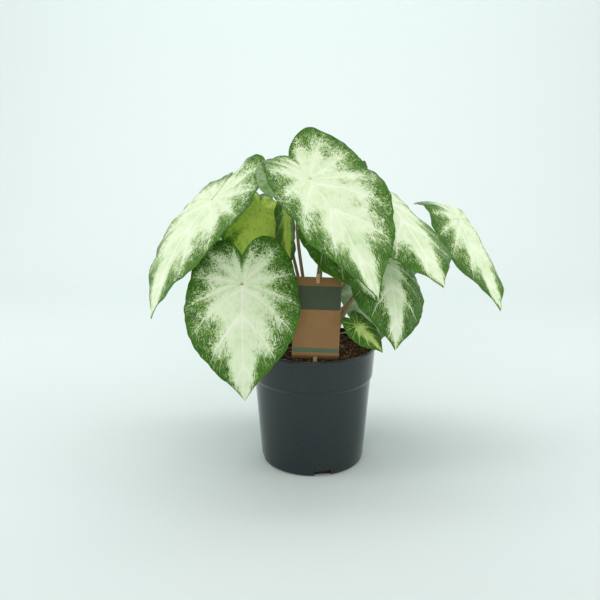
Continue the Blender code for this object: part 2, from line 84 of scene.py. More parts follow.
# Relief of a blade of the usual length. Other blades have it to scale.
USUAL_LENGTH = 120.0
VEIN_WIDTH = 1.1
VEIN_GROOVE = 0.35
VEIN_RIDGE = 0.45
MIDRIB_WIDTH = 1.5
MIDRIB_GROOVE = 0.5
MIDRIB_RIDGE = 0.9
SWELL_HEIGHT = 2.2
RUFFLES = ((9, 0.5), (14, 0.35), (21, 0.2))  # number along half a margin, and height
DENTS = 6
DENT_HEIGHT = 0.16

# A margin that is rolled under
FOLD_TURN = 2.6          # how far it rolls, in radians
FOLD_LEAST = 0.3         # radius of the roll at its ends
FOLD_INSET = 1.2
FOLD_THICKNESS = 0.7
FOLD_STEPS = 14

# Petioles and tuber
PETIOLE_TAPER = 0.65     # radius under the blade against the radius at the soil
PETIOLE_RISE = 0.45      # how far the lower part runs straight, in petiole lengths
PETIOLE_INSET = 0.1
PETIOLE_SIDES = 20
PETIOLE_RINGS = 70
BURIED_RINGS = 8
TUBER_RADIUS = 30.0
TUBER_HALF_HEIGHT = 14.0
TUBER_CENTRE_HEIGHT = 98.0
TUBER_TO_STEM = 1.2

# Soil
SOIL_TOP = 127.0
SOIL_LUMP = 1.6
SOIL_GAP = 0.25          # left between the soil and the inside of the pot
SOIL_EDGE_GAP = 0.6
SOIL_RINGS = 64
SOIL_SIDES = 180
CRUMB_FIELD = 65.5
FIBRE_FIELD = 62.0
FIBRE_LIMIT = 66.5
FIBRE_RINGS = 7

# Pot
POT_HEIGHT = 136.0
RIM_RADIUS = 70.0
LIP_HEIGHT = 5.0
BAND_TOP_RADIUS = 69.4
BAND_FOOT_RADIUS = 67.4
BAND_FOOT_HEIGHT = 102.0
WALL_TOP_RADIUS = 65.3
WALL_TOP_HEIGHT = 97.5
WALL_FOOT_RADIUS = 58.2
FOOT_STEP_HEIGHT = 6.0
FOOT_RADIUS = 57.6
FOOT_ROUNDING = 4.0
WALL_THICKNESS = 1.3
FLOOR_THICKNESS = 1.5
FLOOR_RECESS = 1.5
FLOOR_CORNER = 3.0
FOOT_RING = 3.0
CENTRE_PAD_RADIUS = 14.0
CORNER_ROUNDING = 0.35
POT_SIDES = 160
DRAIN_NOTCHES = 4
DRAIN_NOTCH_WIDTH = 18.0
DRAIN_NOTCH_TOP = 7.6
DRAIN_NOTCH_FROM = -2.0  # foot of the block that cuts a notch
DRAIN_NOTCH_DEPTH = 14.0
DRAIN_NOTCH_HEADING = -79.5
DRAIN_HOLES = 8
DRAIN_HOLE_RADIUS = 3.5
DRAIN_HOLE_DEPTH = 8.0
DRAIN_HOLE_RING = 34.0
# Degrees beside the front notch, height and half width of each small raised bead
BEADS = ((-7.4, 8.4, 1.7), (6.8, 8.8, 1.4), (-3.4, 14.6, 0.8))
BEAD_DEPTH = 1.0
BEAD_HEIGHT = 0.7        # against its width
POT_SHARP_FROM = 32.0

# Plant card and stick
CARD_WIDTH = 49.0
CARD_THICKNESS = 0.6
CARD_BOW = 0.21          # how far the middle of the card bulges forward
CARD_CREASE = 1.4        # distance beside a fold line over which the card bends
CREASE_STEPS = 6
PANEL_STEPS = 24
CARD_COLUMNS = 25
WIDE_BAND = (48.0, 72.8) # heights on the panel where the printed bands start and end
THIN_BAND = (3.0, 7.8)
CARD_PANEL_HEIGHT = 73.0
CARD_TOP_FLAP = 10.0
CARD_TOP_LEAN = 35.0
CARD_FOOT_FLAP = 6.0
CARD_FOOT_LEAN = 45.0
CARD_PLACE = (1.5, -59.0, 140.0)
CARD_TILT = 5.0
CARD_ROLL = 2.0
STICK_WIDTH = 4.0
STICK_DEPTH = 1.5
STICK_BEHIND = 1.6
STICK_ABOVE = 4.0
STICK_BELOW = 50.0
STICK_BEVEL = 0.3
STICK_CUTS = 24
STICK_SHARP_FROM = 30.0

# Camera
FRAME_WIDTH = 600
FOCAL_LENGTH = 740
SENSOR_WIDTH = 36.0
CAMERA_PLACE = (-14.4, -795.0, 380.0)
CAMERA_DIP = 13.8

# Floor and wall of the stage
FLOOR_FRONT = -2500.0
WALL_PLACE = 1500.0
WALL_HEIGHT = 2600.0
WALL_CURVE = 700.0
STAGE_HALF_WIDTH = 3000.0

# Name, place, target, width and height, and power of each lamp
LAMPS = (
    ("left_box", (-1.4, -0.15, 0.55), (0.0, 0.0, 0.2), (0.9, 1.5), 8.0),
    ("right_box", (1.35, -0.4, 0.6), (0.0, 0.0, 0.2), (0.9, 1.5), 7.0),
    ("top_box", (0.0, -0.2, 1.6), (0.0, 0.0, 0.2), (1.6, 1.2), 0.6),
    ("front_box", (-0.2, -2.0, 1.15), (0.0, 0.0, 0.15), (1.6, 1.0), 9.5),
    ("wall_box", (0.0, 0.3, 1.7), (0.0, 1.5, 0.3), (2.2, 0.6), 15.0),
)
SKY_STRENGTH = 0.60


@dataclass
class Leaf:
    """A blade and its petiole. Angles are in degrees, left is seen from above towards the tip."""

    name: str
    attach: tuple            # where the petiole meets the blade
    length: float            # from there to the tip, along the midrib
    heading: float           # compass heading of the tip, 0 along +X and -90 to the front
    dip: float               # how far the midrib starts below the level
    roll: float = 0.0        # turn about the midrib, left half up
    droop: float = 25.0      # further downward bend of the midrib by the tip
    sweep: float = 0.0       # sideways bend of the midrib to the left by the tip
    twist: float = 0.0       # turn about the midrib by the tip
    width: float = 1.0       # breadth against the usual outline
    fold: tuple = (8.0, 8.0)       # rise of the left and right half from the midrib
    camber: tuple = (25.0, 25.0)   # downward curl of the left and right half
    lobes: tuple = (15.0, 15.0)    # backward bend of the left and right lobe
    lobe_size: tuple = (1.0, 1.0)  # size of the left and right lobe against the usual outline
    wave: float = 1.5        # height of the margin's waves
    root: tuple = (0.0, 10.0)      # compass heading and distance of the petiole's root
    arch: float = 0.35       # how far the petiole's top bend reaches, in petiole lengths
    stem: float = 2.2        # radius of the petiole at the soil
    green: float = 0.0       # how much further the green margin reaches in
    yellow: float = 0.0      # how far the pale middle turns yellow-green
    stalk: float = 0.5       # colour of the petiole, from brown to olive
    suture: float = 0.0      # red of the seam from the petiole to the notch
    fold_under: tuple = ()   # half, first and last margin column and reach of a rolled margin


LEAVES = (
    Leaf("centre", (-5, -60, 322), 137, -38, 44, roll=6, droop=22, twist=4, width=1.08,
         fold=(16, 13), camber=(4, 6), lobes=(-22, 58), lobe_size=(0.95, 0.7), wave=2.0,
         root=(-110, 13), arch=0.3, green=-0.06, stalk=0.2, fold_under=(-1, 34, 68, 16.0)),
    Leaf("left", (-108, 0, 296), 147, -134, 38, roll=11, droop=38, sweep=-12, twist=4,
         width=0.96, fold=(0, 8), camber=(12, 30), lobes=(-14, 8), lobe_size=(1, 0.7),
         root=(165, 13), arch=0.3, green=-0.12, suture=1.0),
    Leaf("lower_left", (-72, -79, 221), 119, -88, 58, roll=4, droop=40, twist=-10,
         fold=(-5, -3), camber=(18, 12), lobes=(-12, 4), root=(-120, 19), green=0.08),
    Leaf("right", (77, -8, 298), 126, -57, 35, roll=-14, droop=10, sweep=-3, twist=18,
         width=1.04, fold=(-4, -4), camber=(20, 10), lobes=(20, 25), root=(-5, 13),
         green=0.15, stalk=0.9),
    Leaf("lower_right", (79, -28, 232), 96, -77, 50, roll=-17, droop=23, sweep=-4, twist=12,
         width=1.06, fold=(-4, -3), camber=(30, 2), lobes=(25, 15), root=(-30, 19),
         green=0.65, stalk=0.3),
    Leaf("far_right", (169, 62, 266), 119, -48, 53, roll=-14, droop=4, sweep=-7, twist=7,
         fold=(16, 8), camber=(66, 30), lobes=(96, 75), root=(14, 19),
         green=0.15, stalk=0.7),
    Leaf("young", (45, -60, 172), 38, -25, 40, roll=16, droop=5, width=1.04, fold=(12, 9),
         lobes=(0, 0), wave=0.4, root=(-54, 19), stem=1.2, green=0.8, yellow=0.7, stalk=1.0),
    Leaf("under_centre", (22, -46, 276), 88, -50, 48, roll=10, droop=18, sweep=7, width=1.1,
         fold=(7, 6), camber=(17, 10), lobes=(85, 60), lobe_size=(1, 0.6), root=(-30, 6),
         green=0.45, stalk=1.0),
    Leaf("inner_left", (-57, -14, 286), 80, -105, 62, roll=-30, droop=15, twist=10,
         fold=(-2, -2), camber=(25, 10), lobes=(80, 60), root=(-155, 13),
         green=-0.2, yellow=1.0),
    Leaf("inner_centre", (-30, -24, 290), 68, -60, 84, roll=-40, twist=16, droop=2, width=0.9,
         fold=(5, 7), camber=(32, 8), lobes=(-10, 10), root=(-140, 6), arch=0.06,
         green=0.5, yellow=1.0, stalk=0.1),
    Leaf("back", (14, 66, 318), 114, 95, 35, width=0.94, droop=35, root=(85, 6)),
    Leaf("back_right", (84, 106, 244), 104, 56, 46, root=(40, 13)),
    Leaf("back_left", (-94, 86, 266), 110, 140, 44, root=(120, 13), stalk=0.8),
    Leaf("low_back_left", (-88, 40, 190), 88, 160, 60, root=(145, 19)),
    Leaf("low_back_right", (64, 78, 178), 84, 52, 62, root=(60, 19), stalk=0.2),
)


def tint(red, green, blue):
    """A colour given as on a screen, 0 to 255, as the linear colour that shaders take."""
    shares = (c / 255 for c in (red, green, blue))
    return tuple(c / 12.92 if c <= 0.04045 else ((c + 0.055) / 1.055) ** 2.4 for c in shares)


def blended(first, second, share):
    """A colour that lies a share of the way from one to another."""
    return tuple(a + (b - a) * share for a, b in zip(first, second))


def colour(name, description, default):
    """A colour that the user can change."""
    return FloatVectorProperty(name=name, description=description, subtype="COLOR", size=3,
                               min=0.0, max=1.0, default=default)


def fraction(name, description, default, high=1.0):
    """A share that the user can change."""
    return FloatProperty(name=name, description=description, subtype="FACTOR",
                         default=default, min=0.0, max=high)


class Term:
    """A socket in a material. Arithmetic on it adds Math nodes."""

    def __init__(self, finish, socket):
        self.finish = finish
        self.socket = socket

    def __add__(self, other):
        return self.finish.math("ADD", self, other)

    def __sub__(self, other):
        return self.finish.math("SUBTRACT", self, other)

    def __rsub__(self, other):
        return self.finish.math("SUBTRACT", other, self)

    def __mul__(self, other):
        return self.finish.math("MULTIPLY", self, other)

    def __truediv__(self, other):
        return self.finish.math("DIVIDE", self, other)

    def __rtruediv__(self, other):
        return self.finish.math("DIVIDE", other, self)

    def __neg__(self):
        return self.finish.math("MULTIPLY", self, -1.0)

    def __abs__(self):
        return self.finish.math("ABSOLUTE", self)

    __radd__ = __add__
    __rmul__ = __mul__


class Finish:
    """A material in the making, on one Principled shader."""

    def __init__(self, name, **uniform):
        self.material = bpy.data.materials.new(name)
        self.material.use_nodes = True
        self.tree = self.material.node_tree
        self.shader = self.tree.nodes["Principled BSDF"]
        for socket, value in uniform.items():
            self.shader.inputs[socket.replace("_", " ")].default_value = value

    def add(self, kind, settings, inputs, output=0):
        """A node of a kind: its settings are set first, then its sockets' values or links."""
        node = self.tree.nodes.new(kind)
        for name, value in settings.items():
            setattr(node, name, value)
        for key, value in inputs.items():
            self.feed(node.inputs[key], value)
        return Term(self, node.outputs[output])

    def feed(self, socket, value):
        """Link a term to a socket, or give the socket a value or a colour of its own."""
        if isinstance(value, Term):
            self.tree.links.new(value.socket, socket)
        elif socket.type == "RGBA":
            socket.default_value = (*value, 1.0)
        else:
            socket.default_value = value

    def show(self, skin, rough, height=None, strength=1.0):
        """Feed the colour, the roughness and a relief in millimetres into the shader."""
        self.feed(self.shader.inputs["Base Color"], skin)
        self.feed(self.shader.inputs["Roughness"], rough)
        if height is not None:
            normal = self.add("ShaderNodeBump", {}, {"Height": height, "Distance": MM,
                                                     "Strength": strength})
            self.feed(self.shader.inputs["Normal"], normal)
        return self.material

    def math(self, operation, *values):
        """A Math node on its values."""
        return self.add("ShaderNodeMath", {"operation": operation}, dict(enumerate(values)))

    def uv(self, name):
        """The two numbers of a UV map, as separate terms."""
        place = self.add("ShaderNodeUVMap", {"uv_map": name}, {})
        return self.split(place)[:2]

    def split(self, vector):
        """The three numbers of a vector or a colour."""
        parts = self.add("ShaderNodeSeparateXYZ", {}, {0: vector})
        return [Term(self, out) for out in parts.socket.node.outputs]

    def join(self, x, y, z=0.0):
        """A vector from three numbers."""
        return self.add("ShaderNodeCombineXYZ", {}, {0: x, 1: y, 2: z})

    def place(self):
        """Position on the object, in millimetres."""
        spot = self.add("ShaderNodeTexCoord", {}, {}, output="Object")
        return self.add("ShaderNodeVectorMath", {"operation": "SCALE"},
                        {0: spot, "Scale": 1.0 / MM})

    def noise(self, place, size, detail=2.0, rough=0.5):
        """Soft noise around 0.5, with features of about the given size."""
        return self.add("ShaderNodeTexNoise", {}, {"Vector": place, "Scale": 1.0 / size,
                                                   "Detail": detail, "Roughness": rough})

    def cells(self, place, size):
        """Three random numbers for each cell of about the given size."""
        return self.split(self.add("ShaderNodeTexVoronoi", {},
                                   {"Vector": place, "Scale": 1.0 / size}, output="Color"))

    def ease(self, value, low, high):
        """0 below low and 1 above high, with a smooth rise between."""
        return self.add("ShaderNodeMapRange", {"interpolation_type": "SMOOTHSTEP"},
                        {"Value": value, "From Min": low, "From Max": high})

    def ramp(self, value, low, high):
        """0 at low and 1 at high, with a straight rise between."""
        return self.add("ShaderNodeMapRange", {}, {"Value": value, "From Min": low,
                                                   "From Max": high})

    def band(self, value, low, high, soft):
        """1 between two values and 0 outside them."""
        return self.ease(value, low - soft, low + soft) * (1 - self.ease(value, high - soft,
                                                                        high + soft))

    def mix(self, share, first, second):
        """A colour between two."""
        return self.add("ShaderNodeMix", {"data_type": "RGBA"}, {0: share, 6: first, 7: second},
                        output=2)


def placed(name, data):
    """A new object in the scene."""
    made = bpy.data.objects.new(name, data)
    bpy.context.scene.collection.objects.link(made)
    return made


def new_piece(name, mesh, finish, stands_for=()):
    """A shown piece that rides with the plant."""
    piece = placed(name, mesh)
    mesh.materials.clear()
    mesh.materials.append(finish)
    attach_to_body(piece, BODY)
    if stands_for:
        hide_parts(*stands_for)
    return piece


def mesh_from_points(name, points, faces):
    """A smooth mesh from points in millimetres."""
    mesh = bpy.data.meshes.new(name)
    mesh.from_pydata((np.asarray(points, float) * MM).tolist(), [], faces)
    mesh.update()
    mesh.shade_smooth()
    mesh.set_sharp_from_angle(angle=math.radians(SHARP_FROM))
    return mesh


def mesh_from_bmesh(name, bm, smooth=True):
    """A mesh from a bmesh in millimetres, which is used up."""
    bmesh.ops.scale(bm, vec=(MM, MM, MM), verts=bm.verts)
    mesh = bpy.data.meshes.new(name)
    bm.to_mesh(mesh)
    bm.free()
    if smooth:
        mesh.shade_smooth()
    return mesh


def add_uv(mesh, name, corners):
    """A map with a place for each corner of the mesh's faces."""
    layer = mesh.uv_layers.new(name=name)
    layer.data.foreach_set("uv", np.asarray(corners, np.float32).ravel())


def smooth_curve(points, count):
    """Evenly spaced points on a smooth curve through the given ones."""
    steps_between = 24
    p = np.asarray(points, float)
    ends = np.vstack([2 * p[0] - p[1], p, 2 * p[-1] - p[-2]])
    pieces = []
    for i in range(len(p) - 1):
        a, b, c, d = ends[i:i + 4]
        t = np.linspace(0.0, 1.0, steps_between, endpoint=False)[:, None]
        pieces.append(0.5 * (2 * b + (c - a) * t + (2 * a - 5 * b + 4 * c - d) * t ** 2
                             + (3 * b - 3 * c + d - a) * t ** 3))
    dense = np.vstack(pieces + [p[-1:]])
    steps = np.linalg.norm(np.diff(dense, axis=0), axis=1)
    along = np.concatenate([[0.0], np.cumsum(steps)])
    wanted = np.linspace(0.0, along[-1], count)
    return np.stack([np.interp(wanted, along, dense[:, k]) for k in range(dense.shape[1])], -1)


def leaf_axes(leaf):
    """Directions of a blade at its petiole: towards the tip, to its left, and out of its face."""
    heading, dip, roll = (math.radians(a) for a in (leaf.heading, leaf.dip, leaf.roll))
    forward = np.array([math.cos(heading) * math.cos(dip),
                        math.sin(heading) * math.cos(dip), -math.sin(dip)])
    level = np.array([-math.sin(heading), math.cos(heading), 0.0])
    up = np.cross(forward, level)
    left = math.cos(roll) * level + math.sin(roll) * up
    face = math.cos(roll) * up - math.sin(roll) * level
    return forward, left, face


def blade_points(leaf, along, across):
    """Places of points on a blade, given in blade lengths along and across its midrib."""
    forward, left, face = leaf_axes(leaf)
    side = np.sign(across)
    blend = np.sin(0.5 * math.pi * np.clip(across / LOBE_BLEND, -1.0, 1.0))

    def course(share):
        """Directions along the midrib and to its left, at shares of its length."""
        bend = (np.radians(leaf.droop) * share ** DROOP_EASE)[..., None]
        sweep = (np.radians(leaf.sweep) * share)[..., None]
        ahead = np.cos(sweep) * forward + np.sin(sweep) * left
        return (np.cos(bend) * ahead - np.sin(bend) * face,
                np.cos(sweep) * left - np.sin(sweep) * forward)

    # The midrib bends down and sideways towards the tip.
    table = np.linspace(0.0, 1.0, MIDRIB_STEPS)
    ahead = course(table)[0]
    path = np.vstack([np.zeros(3), np.cumsum(0.5 * (ahead[1:] + ahead[:-1]), 0) * table[1]])
    u = np.clip(along, 0.0, 1.0)
    spine = np.stack([np.interp(u, table, path[:, k]) for k in range(3)], -1) * leaf.length
    tangent, beside = course(u)
    normal = np.cross(tangent, beside)

    # Behind the petiole each lobe bends back on its own.
    back = np.clip(-along, 0.0, None)
    lobe = np.radians(0.5 * (leaf.lobes[0] + leaf.lobes[1])
                      + 0.5 * (leaf.lobes[0] - leaf.lobes[1]) * blend)
    rate = np.where(np.abs(lobe) < LEAST_ANGLE, LEAST_ANGLE, lobe) / LOBE_REACH
    turn = (rate * back)[..., None]
    reach = (leaf.length / rate)[..., None]
    spine = spine - reach * (np.sin(turn) * forward + (1 - np.cos(turn)) * face)
    behind = (back > 0)[..., None]
    normal = np.where(behind, np.cos(turn) * face - np.sin(turn) * forward, normal)

    # The twist turns both halves about the midrib.
    angle = (np.radians(leaf.twist) * u)[..., None]
    beside, normal = (np.cos(angle) * beside + np.sin(angle) * normal,
                      np.cos(angle) * normal - np.sin(angle) * beside)

    # Each half rises from the midrib and curls down towards its margin.
    fold = np.radians(np.where(side >= 0, leaf.fold[0], leaf.fold[1]))
    curl = np.radians(np.where(side >= 0, leaf.camber[0], leaf.camber[1]))
    curl = np.where(np.abs(curl) < LEAST_ANGLE, LEAST_ANGLE, curl)
    radius = leaf.length * HALF_WIDTH / curl
    out = np.abs(across) * leaf.length
    end = fold - out / radius
    outward = radius * (np.sin(fold) - np.sin(end))
    upward = radius * (np.cos(end) - np.cos(fold))
    return (np.asarray(leaf.attach) + spine + (side * outward)[..., None] * beside
            + upward[..., None] * normal), normal


def vein_grid(leaf, side):
    """Grid on one half of a blade, with columns that run out to the margin as its veins do.

    Returns the distances along and across in blade lengths, each column's share of the margin,
    each row's share of the way out, and the length of each column in blade lengths."""
    outline = smooth_curve(HALF_OUTLINE, BLADE_COLUMNS)
    share = np.linspace(0.0, 1.0, BLADE_COLUMNS)[:, None]
    chance = random.Random(leaf.name + str(side))
    uneven = sum(size * np.sin(2 * math.pi * (waves * share + chance.random()))
                 for waves, size in MARGIN_JAGS)
    uneven = 1 + uneven * np.sin(math.pi * share)
    in_lobe = (np.clip(-outline[:, :1] / LOBE_SIZE_FROM, 0.0, 1.0)
               * np.clip(outline[:, 1:] / LOBE_SIZE_BESIDE, 0.0, 1.0))
    uneven = uneven * (1 - (1 - leaf.lobe_size[0 if side > 0 else 1]) * in_lobe)
    margin_u = outline[:, :1] * uneven
    margin_v = outline[:, 1:] * leaf.width * uneven
    foot_u = np.clip((margin_u - VEIN_START) / (1 - VEIN_START), 0.0, 1.0) ** VEIN_CROWDING
    out = 1 - (1 - np.linspace(0.0, 1.0, BLADE_ROWS)[None, :]) ** 1.2
    forward = np.clip(margin_u / 0.4, 0.0, 1.0)
    bend_u = foot_u + (margin_u - foot_u) * (0.5 - 0.15 * forward)
    bend_v = margin_v * (0.5 + 0.1 * forward)
    first, middle, last = (1 - out) ** 2, 2 * out * (1 - out), out ** 2
    along = first * foot_u + middle * bend_u + last * margin_u
    across = side * (middle * bend_v + last * margin_v)
    share = share + 0 * out
    run = np.hypot(margin_u - foot_u, margin_v) + 0 * out
    return along, across, share, out + 0 * along, run


def blade_relief(leaf, seed, along, across, share, out):
    """Heights on a blade, in millimetres: of the whole sheet, its upper and its lower face."""
    size = leaf.length / USUAL_LENGTH
    gap = np.abs((share * VEINS_PER_HALF) % 1.0 - 0.5)
    spacing = size * (6 + 34 * out)
    vein = np.exp(-(gap * spacing / (VEIN_WIDTH * size)) ** 2) * (1 - out) ** 0.4
    vein = vein * np.clip(out * 5, 0.0, 1.0)
    midrib = np.exp(-(across * leaf.length / (MIDRIB_WIDTH * size)) ** 2) * (along > 0)
    midrib = midrib * (1.0 - 0.6 * np.clip(along, 0.0, 1.0))
    swell = np.sin(math.pi * gap) ** 2 * SWELL_HEIGHT * size * out * (1 - out ** 4)

    # Ruffles near the margin, and shallow dents all over
    chance = random.Random(seed)
    ruffle = np.zeros_like(along)
    for waves, height in RUFFLES:
        start = chance.uniform(0, 2 * math.pi)
        lean = chance.uniform(0, 2 * math.pi)
        ruffle += height * np.sin(2 * math.pi * waves * share * (1 - 0.15 * share) + start
                                  + np.sign(across) * lean)
    ruffle = ruffle * out ** 5 * size * np.sin(math.pi * share) ** 0.5
    dents = np.zeros_like(along)
    for _ in range(DENTS):
        turn = chance.uniform(0, math.pi)
        pitch = chance.uniform(0.12, 0.3)
        start = chance.uniform(0, 2 * math.pi)
        dents += np.sin(2 * math.pi * (along * math.cos(turn) + across * math.sin(turn)) / pitch
                        + start)
    return (swell + ruffle + DENT_HEIGHT * size * dents,
            -VEIN_GROOVE * size * vein - MIDRIB_GROOVE * size * midrib,
            VEIN_RIDGE * size * vein + MIDRIB_RIDGE * size * midrib)


def blade_sheet(leaf, seed, thickness):
    """Middle sheet of a blade with its margin's waves.

    Returns its points, the heights and the thickness there, its polygons, and for each of
    their corners what the maps say of it."""
    numbers = {}
    points, details = [], []
    polygons, corners = [], []
    for side in (1, -1):
        along, across, share, out, run = vein_grid(leaf, side)
        place, normal = blade_points(leaf, along, across)
        ripple = np.sin(2 * math.pi * MARGIN_WAVES * share) * np.sin(math.pi * share)
        place = place + normal * (leaf.wave * out ** 2 * ripple)[..., None]
        relief = np.stack(blade_relief(leaf, seed, along, across, share, out), -1)
        thick = thickness * (1 - 0.45 * out ** 3)
        maps = np.stack([along * leaf.length, across * leaf.length,
                         share * VEINS_PER_HALF, out,
                         run * leaf.length * out, leaf.length * (0.05 + 0.28 * out),
                         along, across], -1)
        keys = np.round(np.stack([along, across], -1) * leaf.length, 3) + 0.0
        grid = np.zeros(along.shape, int)
        for i in range(along.shape[0]):
            for j in range(along.shape[1]):
                key = tuple(keys[i, j])
                if key not in numbers:
                    numbers[key] = len(points)
                    points.append(place[i, j])
                    details.append((*relief[i, j], thick[i, j]))
                grid[i, j] = numbers[key]
        for i in range(grid.shape[0] - 1):
            for j in range(grid.shape[1] - 1):
                ring = ((i, j), (i + 1, j), (i + 1, j + 1), (i, j + 1))
                if side < 0:
                    ring = ring[::-1]
                used = {}
                for spot in ring:
                    used.setdefault(int(grid[spot]), spot)
                if len(used) > 2:
                    polygons.append(tuple(used))
                    corners.append([maps[spot] for spot in used.values()])
    return np.array(points), np.array(details), polygons, corners


def sheet_normals(points, polygons):
    """Directions out of a sheet at its points."""
    normals = np.zeros_like(points)
    for count in (3, 4):
        chosen = np.array([p for p in polygons if len(p) == count])
        across = points[chosen[:, 2]] - points[chosen[:, 0]]
        other = points[chosen[:, -1]] - points[chosen[:, 1]]
        face = np.cross(across, other) if count == 4 else np.cross(
            points[chosen[:, 1]] - points[chosen[:, 0]], across)
        for k in range(count):
            np.add.at(normals, chosen[:, k], face)
    return normals / np.linalg.norm(normals, axis=1)[:, None]


def blade_mesh(leaf, seed, thickness):
    """A blade with two faces and a margin, and with maps of where each corner is on it."""
    points, details, polygons, corners = blade_sheet(leaf, seed, thickness)
    normals = sheet_normals(points, polygons)
    sheet, above, below, thick = (details[:, k:k + 1] for k in range(4))
    upper = points + normals * (sheet + above + thick / 2)
    lower = points + normals * (sheet - below - thick / 2)
    count = len(points)
    faces = list(polygons)
    faces += [tuple(count + k for k in reversed(p)) for p in polygons]
    spots = {}
    for polygon, corner in zip(polygons, corners):
        for k, number in enumerate(polygon):
            edge = (number, polygon[(k + 1) % len(polygon)])
            if edge[::-1] in spots:
                del spots[edge[::-1]]
            else:
                spots[edge] = (corner[k], corner[(k + 1) % len(polygon)])
    rows = [np.append(c, 0.0) for corner in corners for c in corner]
    rows += [np.append(c, 1.0) for corner in corners for c in reversed(corner)]
    for (p, q), (at_p, at_q) in spots.items():
        faces.append((q, p, count + p, count + q))
        rows += [np.append(c, 0.0) for c in (at_q, at_p, at_p, at_q)]
    rows = np.array(rows)
    mesh = mesh_from_points(leaf.name + "_leaf", np.vstack([upper, lower]), faces)
    along, across, under = rows[:, 6:].T
    beside = 0.25 + 0.5 * under + 0.43 * across
    add_uv(mesh, "OFBake", np.stack([beside, (along + 0.43) / 1.46], -1))
    add_uv(mesh, "Blade", rows[:, 0:2])
    add_uv(mesh, "Veins", rows[:, 2:4])
    add_uv(mesh, "Run", rows[:, 4:6])
    add_uv(mesh, "Side", np.stack([under, 0 * under], -1))
    return mesh


